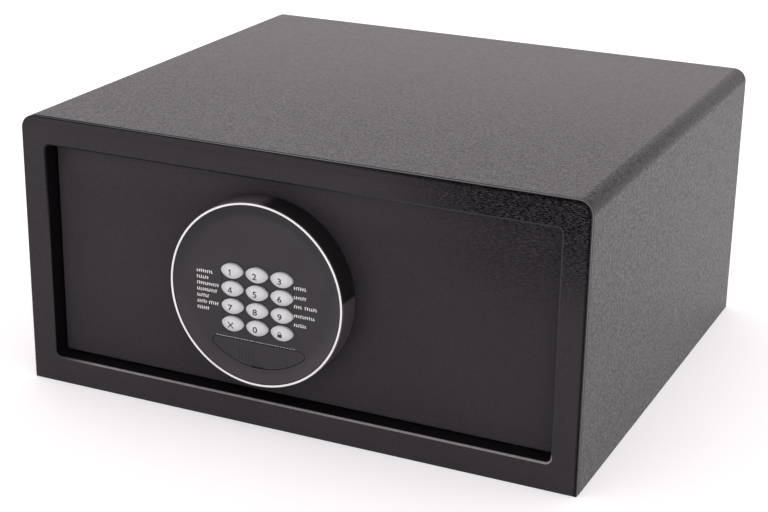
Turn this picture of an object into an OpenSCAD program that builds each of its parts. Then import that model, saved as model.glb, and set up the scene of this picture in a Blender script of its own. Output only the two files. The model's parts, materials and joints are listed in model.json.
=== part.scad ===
// Low front-opening electronic safe: a welded sheet-steel cabinet, a recessed swing door on
// concealed pivots, a round keypad housing on the door and a motor-driven pair of round bolts.
// Origin: centre of the cabinet's footprint on its resting face. X to the right, Y to the back,
// Z up. All sizes in millimetres. The door is drawn closed with its bolts drawn back.

/* [Cabinet] */
// Width of the cabinet
cabinet_w = 420; // [405:5:460]
// Depth of the cabinet
cabinet_d = 370; // [300:5:420]
// Height of the cabinet
cabinet_h = 200; // [195:5:250]
// Thickness of the sheet that forms the top and sides
shell_t = 2; // [1.5:0.5:3]
// Outside radius of the two bent top edges
edge_r = 10; // [6:1:16]
// Thickness of the base plate
base_t = 3; // [2:0.5:4]
// Thickness of the back panel
back_t = 2; // [1.5:0.5:3]
// Thickness of the mat on the cabinet floor
mat_t = 2.5; // [1.5:0.5:4]

/* [Anchor holes] */
// Radius of every anchor hole
anchor_r = 5; // [4:0.5:6]
// Distance between the base holes, side to side
base_hole_dx = 260; // [180:5:320]
// Distance between the base holes, front to back
base_hole_dy = 200; // [120:5:240]
// Distance between the back holes, side to side
back_hole_dx = 260; // [180:5:320]
// Distance between the back holes, bottom to top
back_hole_dz = 90; // [60:5:120]

/* [Front frame] */
// Thickness of the front frame
frame_t = 3; // [2:0.5:5]
// Width of the frame beside the opening
border_side = 19; // [17:1:26]
// Height of the frame above the opening
border_top = 20; // [16:1:26]
// Height of the frame below the opening
border_bottom = 20; // [16:1:26]
// Thickness of the flange that turns inwards round the opening
lip_t = 2; // [1.5:0.5:3]
// Corner radius of the opening
opening_r = 4; // [3:0.5:6]

/* [Door] */
// Gap round the door
door_gap = 1.5; // [1.4:0.1:2]
// How far the door's face lies behind the frame's face
door_recess = 12; // [8:1:16]
// Thickness of the door plate
door_t = 4; // [3:0.5:5]
// Radius of the two hinge pins
hinge_pin_r = 3; // [2.5:0.5:3.5]
// Smallest gap between the turning door edge and the frame
swing_clear = 0.4; // [0.3:0.05:0.5]
// Depth of the inner cover behind the door plate
pan_depth = 44; // [42:1:56]
// Sheet thickness of the inner cover
pan_t = 1.5; // [1:0.5:2]

/* [Keypad] */
// Keypad centre, sideways from the middle of the cabinet
keypad_x = -20.5; // [-30:0.5:-15]
// Radius of the keypad housing
keypad_r = 66; // [64:1:68]
// How far the housing stands out from the door
keypad_proud = 20; // [19:0.5:24]
// Depth of the flat face below the rim
dish_depth = 3.5; // [3:0.5:4.5]
// Width of the sloped band inside the rim
dish_band = 7.9; // [7:0.1:9]
// Width of the bright trim ring
ring_w = 2; // [1.5:0.1:2.5]
// Length of one oval key
key_w = 17; // [14.5:0.5:17]
// Height of one oval key
key_h = 10.8; // [9.3:0.3:10.8]
// Distance between key columns
key_pitch_x = 18.95; // [18.7:0.05:20]
// Distance between key rows
key_pitch_z = 12.8; // [12.5:0.1:13.4]
// How far the keys stand out of the face
key_proud = 2.5; // [1:0.25:3]
// How far a key travels when pressed
key_travel = 1; // [0.5:0.1:1.2]

/* [Bolts and drive] */
// Radius of the two locking bolts
bolt_r = 8; // [6:0.5:9]
// Distance between the two bolts
bolt_spacing = 80; // [76:1:90]
// How far the bolts are thrown
bolt_throw = 12; // [8:0.5:13]
// Number of teeth on the motor pinion
pinion_teeth = 14; // [13:1:16]
// Module of the rack and pinion
gear_module = 1; // [0.8:0.1:1]

/* [Emergency lock] */
// Radius of the lock barrel
barrel_r = 6; // [5.5:0.5:6.5]
// Radius of the turning plug inside the barrel
plug_r = 4; // [3.5:0.25:4.5]
// Length of the cam arm from the plug axis
cam_reach = 22; // [21:0.5:24]

/* [Batteries] */
// Number of cells side by side
cell_count = 4; // [2:1:4]
// Radius of one cell
cell_r = 7.25; // [5:0.05:7.25]
// Length of one cell without its nub
cell_len = 49.5; // [42:0.5:50]

/* [Hidden] */
$fn = 64;
fit = 0.05;        // radial running clearance of pins, bolts and shafts
seat = 0.02;       // radial clearance of pieces that are pressed or screwed together
loose = 0.3;       // gap between faces that move past each other
eps = 0.01;        // overrun of cuts

// cabinet
front_y = -cabinet_d / 2;
back_y = cabinet_d / 2;
inner_x = cabinet_w / 2 - shell_t;
open_x = cabinet_w / 2 - border_side;
open_z0 = border_bottom;
open_z1 = cabinet_h - border_top;
mid_z = (open_z0 + open_z1) / 2;

// door and its pivots
door_x = open_x - door_gap;
door_z0 = open_z0 + door_gap;
door_z1 = open_z1 - door_gap;
door_front = front_y + door_recess;
door_back = door_front + door_t;
door_r = opening_r - door_gap;
pin_wall = 1;
pivot_depth = door_t + pin_wall + hinge_pin_r;
swing_room = door_gap - swing_clear;
pivot_inset = (pow(pivot_depth, 2) - pow(swing_room, 2)) / (2 * swing_room);
pivot_x = door_x - pivot_inset;
pivot_y = door_front + pivot_depth;
bush_r = hinge_pin_r + 3;
bush_h = 8;
lip_depth = door_recess + pivot_depth + bush_r;
lip_back = front_y + lip_depth;
hinge_block_w = 16;
hinge_block_h = 16;
hinge_block_d = 2 * (pin_wall + hinge_pin_r) + 3;
pin_seat_depth = 12;
washer_gap = 0.2;
stop_w = 5;
stop_h = 12;
stop_t = 4;
stop_inset = 10;
keeper_t = 3;

// bolts
bolt_play = 1;
bolt_y = lip_back + bolt_play + bolt_r;
bolt_tip_inset = 1.5;
bolt_tip_x = -door_x + bolt_tip_inset;
bolt_nose = 1.5;
bolt_tail_r = bolt_r / 2;
bolt_tail_len = 7;
bolt_z = [mid_z - bolt_spacing / 2, mid_z + bolt_spacing / 2];
guide_t = 12;
guide_w = 2 * bolt_r + 6;
guide_d = bolt_y + bolt_r + 3 - door_back;
flange_t = 4;
web_t = 3;
flange_w = 2 * bolt_r - 2;
clip_t = 1.2;

// inner cover
pan_margin = 8.5;
pan_x0 = -door_x + pan_margin;
pan_x1 = pivot_x - hinge_block_w / 2 - 1.5;
pan_z0 = door_z0 + 5.5;
pan_z1 = door_z1 - 5.5;
pan_back = door_back + pan_depth;
pan_in = pan_back - pan_t;
post_r = 4;
post_inset = 10;
post_guide_gap = 2;
screw_r = 2;
screw_head_r = 3.6;
screw_head_h = 2.4;
guide_x = pan_x0 + pan_t + 3.5;
flange_x = guide_x + guide_t + bolt_throw + 12;
post_x = [guide_x + guide_t + post_guide_gap + post_r, pan_x1 - post_inset];

// keypad
gasket_t = 1;
ring_proud = 0.3;
rim_h = keypad_proud - 1.2;
wall_in = keypad_r - 3.2;
ring_out = keypad_r - 0.2;
ring_in = ring_out - ring_w;
panel_r = ring_in - 0.1;
flat_r = panel_r - dish_band;
face_h = keypad_proud - 0.4 - dish_depth;
panel_t = 2.2;
floor_h = 3.5;
key_flange = 0.7;
key_flange_t = 1;
key_gap = 0.2;
key_dome_r = 26;
board_t = 1.6;
mat_sheet_t = 1.2;
dome_h = 0.9;
flange_top = face_h - panel_t - key_gap;
flange_bottom = flange_top - key_flange_t;
dome_top = flange_bottom - key_travel - key_gap;
mat_top = dome_top - dome_h;
board_top = mat_top - mat_sheet_t;
board_bottom = board_top - board_t;
board_r = flat_r + 2;
socket_t = 2.5;
key_tip_r = 3;
key_row_0 = 14.15;
key_names = ["key_1", "key_2", "key_3", "key_4", "key_5", "key_6",
             "key_7", "key_8", "key_9", "key_clear", "key_0", "key_lock"];
function key_place(k) = [(k % 3 - 1) * key_pitch_x, key_row_0 - floor(k / 3) * key_pitch_z];

// lock well, its cover and the emergency lock behind it
well_r = flat_r - 1.5;
well_top = key_row_0 - 3 * key_pitch_z - key_h / 2 - 5.9;
well_end_x = 36;
well_corner_r = 4.5;
well_wall = 2.2;
well_ledge = 1.2;
well_floor_t = 1.5;
cover_gap = 0.25;
lock_z = -44.5;
lock_x = keypad_x;
barrel_flange_r = barrel_r + 1;
barrel_flange_t = 1.5;
nut_t = 4;
cam_t = 3;
cam_w = 6;
cam_y1 = bolt_y - web_t / 2 - 0.5;
cam_y0 = cam_y1 - cam_t;
cam_hub_r = 6;
drive_pin_r = 2.5;
drive_pin_up = 19;
lock_cz = mid_z + lock_z;
drive_pin_x = lock_x + cam_w / 2 + drive_pin_r + loose;
drive_pin_z = lock_cz + drive_pin_up;

// housing screws and cable hole
boss_angles = [60, 120, 200, 340];
boss_ring = 50;
boss_r = 4.5;
cable_at = [-29, 25];
cable_hole_r = 7;
cable_bore_r = 4;

// rack plate and pinion
pressure_angle = 25;
backlash = 0.2;
rack_pitch_z = mid_z + 10;
web_z0 = drive_pin_z - 3.5;
web_z1 = rack_pitch_z - 1.25 * gear_module;
pinion_r = gear_module * pinion_teeth / 2;
pinion_x = keypad_x + 41;
pinion_z = rack_pitch_z + pinion_r;
rack_x0 = pinion_x - 10;
rack_x1 = pinion_x + bolt_throw + 12;
pinion_w = 4;
shaft_r = 1.5;
guide_post_x = [flange_x + 22, lock_x + 8];
guide_post_z = (web_z0 + web_z1) / 2 + 1;
guide_post_r = 3.5;
guide_head_r = 6;

// motor
bracket_t = 1.5;
gearbox_w = 24;
gearbox_gap = 1.5;
gearbox_below = 11;
gearbox_above = 17;
gearbox_y0 = door_back + bracket_t;
gearbox_y1 = bolt_y - pinion_w / 2 - gearbox_gap;
gearbox_z0 = pinion_z - gearbox_below;
gearbox_z1 = pinion_z + gearbox_above;
motor_r = 6.5;
motor_len = 28;
motor_up = 8;
motor_z = pinion_z + motor_up;
motor_y = (gearbox_y0 + gearbox_y1) / 2;
motor_screw_r = 1.25;
motor_screw_z = gearbox_z1 - 3;

// batteries
box_wall = 1.5;
cell_pitch = 2 * cell_r + 0.5;
cell_nub = 1;
cell_end = 3;
box_in_w = cell_count * cell_pitch + 1;
box_in_h = cell_len + cell_nub + 2 * cell_end;
box_in_d = 2 * cell_r + 1;
box_x1 = pan_x1 - 8 - box_wall;
box_x0 = box_x1 - box_in_w;
box_z0 = mid_z - box_in_h / 2;
cell_y = pan_in - 0.5 - cell_r;
cover_lap = 3;
lead_r = 1.4;
lead_rise = 32;
lead_depth = 9;
motor_lead_rise = 27;
motor_lead_depth = 7;
lead_start_y = door_front - board_bottom + socket_t + lead_r;

// ---- plane shapes ----

// rectangle from corner a to corner b with four round corners
module round_rect(a, b, r) {
    translate([a[0] + r, a[1]]) square([b[0] - a[0] - 2 * r, b[1] - a[1]]);
    translate([a[0], a[1] + r]) square([b[0] - a[0], b[1] - a[1] - 2 * r]);
    for (x = [a[0] + r, b[0] - r], z = [a[1] + r, b[1] - r]) translate([x, z]) circle(r);
}

// outline of the cabinet seen from the front: round top corners, square bottom corners
module cabinet_outline(inset, bottom) {
    x = cabinet_w / 2 - inset;
    r = edge_r - inset;
    translate([-x, bottom]) square([2 * x, cabinet_h - inset - r - bottom]);
    translate([r - x, bottom]) square([2 * (x - r), cabinet_h - inset - bottom]);
    for (side = [-1, 1]) translate([side * (x - r), cabinet_h - inset - r]) circle(r);
}

// oval of two long arcs and two tight arcs at its tips
function oval(w, h, tip = key_tip_r, steps = 7) = let (
    c = w / 2 - tip,
    k = (c * c - pow(h / 2 - tip, 2)) / (2 * (h / 2 - tip)),
    big = k + h / 2,
    turn = atan2(c, k)
) concat(
    [for (i = [0:steps]) let (a = -turn + 2 * turn * i / steps) [big * sin(a), big * cos(a) - k]],
    [for (i = [1:steps - 1]) let (a = 90 - turn - 2 * (90 - turn) * i / steps)
        [c + tip * cos(a), tip * sin(a)]],
    [for (i = [0:steps]) let (a = turn - 2 * turn * i / steps) [big * sin(a), k - big * cos(a)]],
    [for (i = [1:steps - 1]) let (a = 90 - turn - 2 * (90 - turn) * i / steps)
        [-c - tip * cos(a), -tip * sin(a)]]);

// lens-shaped opening of the lock well, grown by a margin
module well_shape(margin) {
    intersection() {
        circle(well_r + margin);
        round_rect([-well_end_x - margin, -keypad_r], [well_end_x + margin, well_top + margin],
                   well_corner_r + margin);
    }
}

// spur gear outline with involute flanks, one tooth pointing straight down
function involute_deg(a) = tan(a) * 180 / PI - a;
function half_tooth(rho, base) = 90 / pinion_teeth - backlash / 4 / pinion_r * 180 / PI
    + involute_deg(pressure_angle) - involute_deg(acos(min(1, base / rho)));
function pinion_points(steps = 5) = let (
    base = pinion_r * cos(pressure_angle),
    tip = pinion_r + gear_module,
    root = pinion_r - 1.25 * gear_module,
    start = max(base, root)
) [for (t = [0:pinion_teeth - 1]) let (mid = t * 360 / pinion_teeth - 90) each concat(
    [let (a = mid - half_tooth(start, base)) root * [cos(a), sin(a)]],
    [for (i = [0:steps]) let (rho = start + (tip - start) * i / steps,
        a = mid - half_tooth(rho, base)) rho * [cos(a), sin(a)]],
    [for (i = [steps:-1:0]) let (rho = start + (tip - start) * i / steps,
        a = mid + half_tooth(rho, base)) rho * [cos(a), sin(a)]],
    [let (a = mid + half_tooth(start, base)) root * [cos(a), sin(a)]])];

// ---- placing ----

// stands a plane shape up in the XZ plane, from y0 to y1
module upright(y0, y1) {
    translate([0, y1, 0]) rotate([90, 0, 0]) linear_extrude(y1 - y0) children();
}

// keypad space: x to the right, y up, z out of the door, origin on the door's face
module on_keypad() {
    translate([keypad_x, door_front, mid_z]) rotate([90, 0, 0]) children();
}

// cylinder along Y from y0 to y1
module bar_y(x, z, y0, y1, r) {
    translate([x, y1, z]) rotate([90, 0, 0]) cylinder(h = y1 - y0, r = r);
}

// cylinder along X from x0 to x1
module bar_x(x0, x1, y, z, r) {
    translate([x0, y, z]) rotate([0, 90, 0]) cylinder(h = x1 - x0, r = r);
}

module block(a, b) {
    translate(a) cube(b - a);
}

module anchor_holes(dx, dz, mid) {
    for (x = [-dx / 2, dx / 2], z = [mid - dz / 2, mid + dz / 2]) translate([x, z]) circle(anchor_r);
}

// ---- cabinet ----

module cabinet_shell() {
    color([0.2, 0.19, 0.2]) upright(front_y + frame_t, back_y) difference() {
        cabinet_outline(0, 0);
        cabinet_outline(shell_t, -1);
    }
}

module base_plate() {
    color([0.2, 0.19, 0.2]) linear_extrude(base_t) difference() {
        translate([-inner_x, front_y + frame_t]) square([2 * inner_x, cabinet_d - frame_t - back_t]);
        for (x = [-base_hole_dx / 2, base_hole_dx / 2], y = [-base_hole_dy / 2, base_hole_dy / 2])
            translate([x, y]) circle(anchor_r);
    }
}

module back_panel() {
    color([0.2, 0.19, 0.2]) upright(back_y - back_t, back_y) difference() {
        cabinet_outline(shell_t, 0);
        anchor_holes(back_hole_dx, back_hole_dz, cabinet_h / 2);
    }
}

module front_frame() {
    color([0.22, 0.21, 0.22]) difference() {
        union() {
            upright(front_y, front_y + frame_t) cabinet_outline(0, 0);
            upright(front_y, lip_back)
                round_rect([-open_x - lip_t, open_z0 - lip_t], [open_x + lip_t, open_z1 + lip_t],
                           opening_r + lip_t);
        }
        upright(front_y - eps, lip_back + eps)
            round_rect([-open_x, open_z0], [open_x, open_z1], opening_r);
        translate([pivot_x, pivot_y, -eps]) cylinder(h = cabinet_h + 1, r = hinge_pin_r + loose);
    }
}

// strip that stiffens the flange where the bolts reach behind it
module bolt_keeper() {
    color("dimgray") block([-open_x - lip_t - keeper_t, front_y + frame_t, open_z0 + opening_r + 4],
                           [-open_x - lip_t, lip_back, open_z1 - opening_r - 4]);
}

module door_stops() {
    color("dimgray") for (z = [open_z0 + stop_inset, open_z1 - stop_inset - stop_h])
        block([-open_x, door_back + loose, z], [-open_x + stop_w, door_back + loose + stop_t, z + stop_h]);
}

// above and below the opening, in line with each other
module pivot_bushes() {
    color("silver") for (z = [open_z0 - lip_t - bush_h, open_z1 + lip_t])
        translate([pivot_x, pivot_y, z]) difference() {
            cylinder(h = bush_h, r = bush_r);
            translate([0, 0, -eps]) cylinder(h = bush_h + 2 * eps, r = hinge_pin_r + fit);
        }
}

module thrust_washer() {
    color("goldenrod") translate([pivot_x, pivot_y, open_z0]) difference() {
        cylinder(h = door_gap - washer_gap, r = bush_r - 1);
        translate([0, 0, -eps]) cylinder(h = door_gap, r = hinge_pin_r + 1.5 * fit);
    }
}

module floor_mat() {
    color([0.09, 0.09, 0.1]) translate([0, 0, base_t]) linear_extrude(mat_t) difference() {
        translate([-inner_x + 2, lip_back + 4])
            square([2 * inner_x - 4, back_y - back_t - lip_back - 6]);
        for (x = [-base_hole_dx / 2, base_hole_dx / 2], y = [-base_hole_dy / 2, base_hole_dy / 2])
            translate([x, y]) circle(anchor_r + 2);
    }
}

// ---- door ----

module door_plate() {
    color([0.22, 0.21, 0.22]) difference() {
        upright(door_front, door_back)
            round_rect([-door_x, door_z0], [door_x, door_z1], door_r);
        on_keypad() for (a = boss_angles) rotate(a) translate([boss_ring, 0, -door_t - eps])
            cylinder(h = door_t + 2 * eps, r = screw_r + 0.25);
        bar_y(keypad_x + cable_at[0], mid_z + cable_at[1], door_front - eps, door_back + eps,
              cable_hole_r);
        bar_y(lock_x, lock_cz, door_front - eps, door_back + eps, barrel_r + 0.1);
    }
}

// one block behind each end of the door plate holds a hinge pin
module hinge_blocks() {
    color("dimgray") for (z = [door_z0, door_z1 - hinge_block_h]) difference() {
        block([pivot_x - hinge_block_w / 2, door_back, z],
              [pivot_x + hinge_block_w / 2, door_back + hinge_block_d, z + hinge_block_h]);
        translate([pivot_x, pivot_y, z == door_z0 ? z - eps : z + hinge_block_h - pin_seat_depth])
            cylinder(h = pin_seat_depth + eps, r = hinge_pin_r + seat);
    }
}

module hinge_pin(z0, z1) {
    color("silver") translate([pivot_x, pivot_y, z0]) cylinder(h = z1 - z0, r = hinge_pin_r);
}

module inner_cover() {
    color([0.24, 0.24, 0.25]) difference() {
        block([pan_x0, door_back, pan_z0], [pan_x1, pan_back, pan_z1]);
        block([pan_x0 + pan_t, door_back - 1, pan_z0 + pan_t], [pan_x1 - pan_t, pan_in, pan_z1 - pan_t]);
        for (z = bolt_z) bar_x(pan_x0 - 1, pan_x0 + pan_t + 1, bolt_y, z, bolt_r + 0.5);
        for (p = post_places()) bar_y(p[0], p[1], pan_in - 1, pan_back + 1, screw_r + 0.25);
        block([box_x0, pan_in - 1, box_z0], [box_x1, pan_back + 1, box_z0 + box_in_h]);
    }
}

function post_places() = [for (x = post_x, z = [pan_z0 + post_inset - 1, pan_z1 - post_inset + 1])
    [x, z]];

module cover_posts() {
    color("silver") for (p = post_places()) difference() {
        bar_y(p[0], p[1], door_back, pan_in, post_r);
        bar_y(p[0], p[1], pan_in - 12, pan_in + 1, screw_r + seat);
    }
}

module cover_screws() {
    color("silver") for (p = post_places()) {
        bar_y(p[0], p[1], pan_in - 10, pan_back, screw_r);
        bar_y(p[0], p[1], pan_back, pan_back + screw_head_h, screw_head_r);
    }
}

// ---- keypad ----

module housing_gasket() {
    color("black") on_keypad() linear_extrude(gasket_t) difference() {
        circle(keypad_r - 1);
        circle(keypad_r - 6);
    }
}

module keypad_housing() {
    color([0.1, 0.1, 0.1]) on_keypad() difference() {
        union() {
            rotate_extrude($fn = 128) {
                translate([0, gasket_t]) square([keypad_r, floor_h - gasket_t]);
                translate([wall_in, gasket_t]) square([keypad_r - wall_in, rim_h - gasket_t]);
            }
            for (a = boss_angles) rotate(a) translate([boss_ring, 0, floor_h - 1])
                cylinder(h = board_bottom - floor_h + 1, r = boss_r);
        }
        for (a = boss_angles) rotate(a) translate([boss_ring, 0, 0])
            cylinder(h = board_bottom - 0.8, r = screw_r + seat);
        for (p = board_screw_places()) translate([p[0], p[1], floor_h])
            cylinder(h = 1, r = 0.5);
        translate([cable_at[0], cable_at[1], 0]) cylinder(h = floor_h + 1, r = cable_hole_r + 2.5);
        translate([0, lock_z, 0]) cylinder(h = floor_h + 1, r = barrel_r + 0.1);
    }
}

function board_screw_places() = [[-38, 36], [38, 36], [0, 46]];

module trim_ring() {
    color("gainsboro") on_keypad() rotate_extrude($fn = 128) difference() {
        translate([ring_in, rim_h]) square([ring_w, keypad_proud + ring_proud - rim_h]);
        for (r = [ring_in, ring_out]) translate([r, keypad_proud + ring_proud])
            rotate(45) square(0.6, center = true);
    }
}

// dished face with the key openings and the lens-shaped one below them
module face_panel() {
    color([0.16, 0.15, 0.16]) on_keypad() difference() {
        rotate_extrude($fn = 128) polygon([
            [0, face_h - panel_t], [flat_r + 0.5, face_h - panel_t],
            [wall_in - 0.2, rim_h - 2], [wall_in - 0.2, rim_h], [panel_r, rim_h],
            [panel_r, keypad_proud - 0.4], [flat_r, face_h], [0, face_h]]);
        translate([0, 0, face_h - panel_t - 1]) linear_extrude(panel_t + 2) well_shape(0);
        for (k = [0:11]) translate([key_place(k)[0], key_place(k)[1], face_h - panel_t - 1])
            linear_extrude(panel_t + 2) polygon(oval(key_w + 2 * loose, key_h + 2 * loose));
    }
}

// cup behind the lens-shaped opening: its rim carries the cap and its floor the emergency lock
module lock_well() {
    color([0.16, 0.15, 0.16]) on_keypad() difference() {
        translate([0, 0, floor_h]) linear_extrude(face_h - panel_t - floor_h)
            well_shape(well_wall - well_ledge);
        translate([0, 0, floor_h + well_floor_t]) linear_extrude(face_h) well_shape(-well_ledge);
        translate([0, lock_z, 0]) cylinder(h = face_h, r = barrel_r + 0.1);
    }
}

module key_cap(k) {
    color([0.85, 0.86, 0.85]) on_keypad() translate([key_place(k)[0], key_place(k)[1], 0]) {
        intersection() {
            translate([0, 0, flange_bottom])
                linear_extrude(face_h + key_proud - flange_bottom) polygon(oval(key_w, key_h));
            translate([0, 0, face_h + key_proud - key_dome_r]) sphere(key_dome_r, $fn = 96);
        }
        translate([0, 0, flange_bottom]) linear_extrude(key_flange_t)
            polygon(oval(key_w + 2 * key_flange, key_h + 2 * key_flange));
    }
}

module board_outline(r) {
    intersection() {
        circle(r);
        translate([-r, well_top + 1.6]) square([2 * r, 2 * r]);
    }
}

module key_mat() {
    color([0.3, 0.3, 0.32]) on_keypad() {
        x = key_pitch_x + key_w / 2 + 2;
        z0 = well_top + 2;
        z1 = key_row_0 + key_h / 2 + 2;
        translate([0, 0, board_top]) linear_extrude(mat_sheet_t) round_rect([-x, z0], [x, z1], 3);
        for (k = [0:11]) translate([key_place(k)[0], key_place(k)[1], mat_top])
            cylinder(h = dome_h, r = 3.5);
    }
}

module circuit_board() {
    color("darkgreen") on_keypad() difference() {
        union() {
            translate([0, 0, board_bottom]) linear_extrude(board_t) board_outline(board_r);
            // buzzer above the keys, and the plug socket at the cable hole
            translate([0, 35, board_top]) cylinder(h = 3, r = 6);
            translate([cable_at[0] - 6, cable_at[1] - 4, board_bottom - socket_t]) cube([12, 8, socket_t]);
        }
        for (p = board_screw_places()) translate([p[0], p[1], board_bottom - 1])
            cylinder(h = board_t + 2, r = 1.7);
    }
}

// each screw with the spacer that it clamps under the board
module board_screws() {
    color("silver") on_keypad() for (p = board_screw_places()) translate([p[0], p[1], 0]) {
        translate([0, 0, floor_h]) cylinder(h = board_bottom - floor_h, r = 2.8);
        translate([0, 0, board_bottom]) cylinder(h = board_t, r = 1.5);
        translate([0, 0, board_top]) cylinder(h = 1.5, r = 2.7);
    }
}

module housing_screws() {
    color("silver") on_keypad() for (a = boss_angles) rotate(a) translate([boss_ring, 0, -door_t]) {
        cylinder(h = door_t + board_bottom - 1.5, r = screw_r);
        translate([0, 0, -screw_head_h]) cylinder(h = screw_head_h, r = screw_head_r);
    }
}

module cable_grommet() {
    color("black") translate([keypad_x + cable_at[0], 0, mid_z + cable_at[1]]) difference() {
        union() {
            bar_y(0, 0, door_front, door_back, cable_hole_r);
            bar_y(0, 0, door_front - 1, door_front, cable_hole_r + 2);
            bar_y(0, 0, door_back, door_back + 1.5, cable_hole_r + 2);
        }
        bar_y(0, 0, door_front - 2, door_back + 3, cable_bore_r);
    }
}

// ---- emergency lock ----

module lock_barrel() {
    front = door_front - floor_h - well_floor_t;
    color("khaki") difference() {
        union() {
            bar_y(lock_x, lock_cz, front - barrel_flange_t, front, barrel_flange_r);
            bar_y(lock_x, lock_cz, front, cam_y0 - 0.3, barrel_r);
        }
        bar_y(lock_x, lock_cz, front - barrel_flange_t - 1, cam_y0, plug_r + fit);
    }
}

module lock_nut() {
    color("silver") difference() {
        translate([lock_x, door_back + nut_t, lock_cz]) rotate([90, 0, 0])
            cylinder(h = nut_t, r = barrel_r + 3.5, $fn = 6);
        bar_y(lock_x, lock_cz, door_back - 1, door_back + nut_t + 1, barrel_r + seat);
    }
}

// turning plug with a stepped keyway in its face and a square tail
module lock_plug() {
    front = door_front - floor_h - well_floor_t - barrel_flange_t;
    color("gold") difference() {
        union() {
            bar_y(lock_x, lock_cz, front, cam_y0, plug_r);
            block([lock_x - 2.5, cam_y0, lock_cz - 2.5], [lock_x + 2.5, cam_y1, lock_cz + 2.5]);
        }
        block([lock_x - 0.6, front - 1, lock_cz - 2.8], [lock_x + 0.6, front + 12, lock_cz + 2.8]);
        block([lock_x - 1.1, front - 1, lock_cz - 0.6], [lock_x + 0.1, front + 12, lock_cz + 0.6]);
        bar_y(lock_x, lock_cz, cam_y1 - 6, cam_y1 + 1, 1 + seat);
    }
}

// arm that swings up from the left and pushes the rack plate's pin to the right
module lock_cam() {
    color("silver") difference() {
        union() {
            bar_y(lock_x, lock_cz, cam_y0, cam_y1, cam_hub_r);
            block([lock_x - cam_reach, cam_y0, lock_cz - cam_w / 2], [lock_x, cam_y1, lock_cz + cam_w / 2]);
        }
        block([lock_x - 2.5 - seat, cam_y0 - 1, lock_cz - 2.5 - seat],
              [lock_x + 2.5 + seat, cam_y1 + 1, lock_cz + 2.5 + seat]);
    }
}

module cam_screw() {
    color("silver") {
        bar_y(lock_x, lock_cz, cam_y1 - 5, cam_y1, 1);
        bar_y(lock_x, lock_cz, cam_y1, cam_y1 + 1.6, 4);
    }
}

// lens-shaped cap over the lock well with a slot for a fingernail
module lock_cover() {
    color([0.16, 0.15, 0.16]) on_keypad() difference() {
        translate([0, 0, face_h - panel_t]) linear_extrude(panel_t) well_shape(-cover_gap);
        translate([-5, -well_r - 1, face_h - 1]) cube([10, 3, 2]);
    }
}

// ---- bolt work ----

// flange that both bolts are fixed to, and a plate with the rack and two guide slots
module bolt_carriage() {
    color("lightgray") difference() {
        union() {
            block([flange_x, bolt_y - flange_w / 2, bolt_z[0] - 12],
                  [flange_x + flange_t, bolt_y + flange_w / 2, bolt_z[1] + 12]);
            upright(bolt_y - web_t / 2, bolt_y + web_t / 2) {
                translate([flange_x + flange_t - 1, web_z0])
                    square([rack_x1 - flange_x - flange_t + 1, web_z1 - web_z0]);
                rack_teeth();
            }
            bar_y(drive_pin_x, drive_pin_z, cam_y0 + loose, bolt_y, drive_pin_r);
        }
        for (z = bolt_z) bar_x(flange_x - 1, flange_x + flange_t + 1, bolt_y, z, bolt_tail_r + seat);
        for (x = guide_post_x) {
            r = guide_post_r + loose;
            block([x, bolt_y - web_t, guide_post_z - r],
                  [x + bolt_throw, bolt_y + web_t, guide_post_z + r]);
            for (e = [0, bolt_throw]) bar_y(x + e, guide_post_z, bolt_y - web_t, bolt_y + web_t, r);
        }
    }
}

module rack_teeth() {
    pitch = PI * gear_module;
    count = floor((rack_x1 - rack_x0) / pitch);
    first = -floor((pinion_x - rack_x0) / pitch);
    up = 0.9 * gear_module;
    down = 1.25 * gear_module + 0.2;
    t = tan(pressure_angle);
    for (i = [0:count - 1]) translate([pinion_x + (first + i + 0.5) * pitch, rack_pitch_z])
        polygon([
            [-pitch / 4 + backlash / 4 - down * t, -down], [pitch / 4 - backlash / 4 + down * t, -down],
            [pitch / 4 - backlash / 4 - up * t, up], [-pitch / 4 + backlash / 4 + up * t, up]]);
}

module locking_bolt(z) {
    color("silver") {
        bar_x(bolt_tip_x + bolt_nose, flange_x, bolt_y, z, bolt_r);
        translate([bolt_tip_x, bolt_y, z]) rotate([0, 90, 0])
            cylinder(h = bolt_nose, r1 = bolt_r - bolt_nose, r2 = bolt_r);
        bar_x(flange_x, flange_x + bolt_tail_len, bolt_y, z, bolt_tail_r);
    }
}

module bolt_clips() {
    color("silver") for (z = bolt_z) difference() {
        bar_x(flange_x + flange_t, flange_x + flange_t + clip_t, bolt_y, z, bolt_tail_r + 2);
        bar_x(flange_x, flange_x + flange_t + 2, bolt_y, z, bolt_tail_r + seat);
    }
}

module bolt_guides() {
    color("dimgray") for (z = bolt_z) difference() {
        block([guide_x, door_back, z - guide_w / 2],
              [guide_x + guide_t, door_back + guide_d, z + guide_w / 2]);
        bar_x(guide_x - 1, guide_x + guide_t + 1, bolt_y, z, bolt_r + fit);
    }
}

module carriage_guides() {
    back = bolt_y + web_t / 2 + loose;
    color("silver") for (x = guide_post_x) {
        bar_y(x, guide_post_z, door_back, back, guide_post_r);
        bar_y(x, guide_post_z, back, back + 1.5, guide_head_r);
        bar_y(x, guide_post_z, door_back, bolt_y - web_t / 2 - loose, guide_head_r);
    }
}

// ---- drive ----

module motor_bracket() {
    color("silver") difference() {
        block([pinion_x - gearbox_w / 2 - 4, door_back, gearbox_z0 - 3],
              [pinion_x + gearbox_w / 2 + motor_len + 2, door_back + bracket_t, gearbox_z1 + 3]);
        for (x = motor_screw_x()) bar_y(x, motor_screw_z, door_back - 1, door_back + 3, motor_screw_r + seat);
    }
}

function motor_screw_x() = [pinion_x - gearbox_w / 2 + 3, pinion_x + gearbox_w / 2 - 3];

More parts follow.
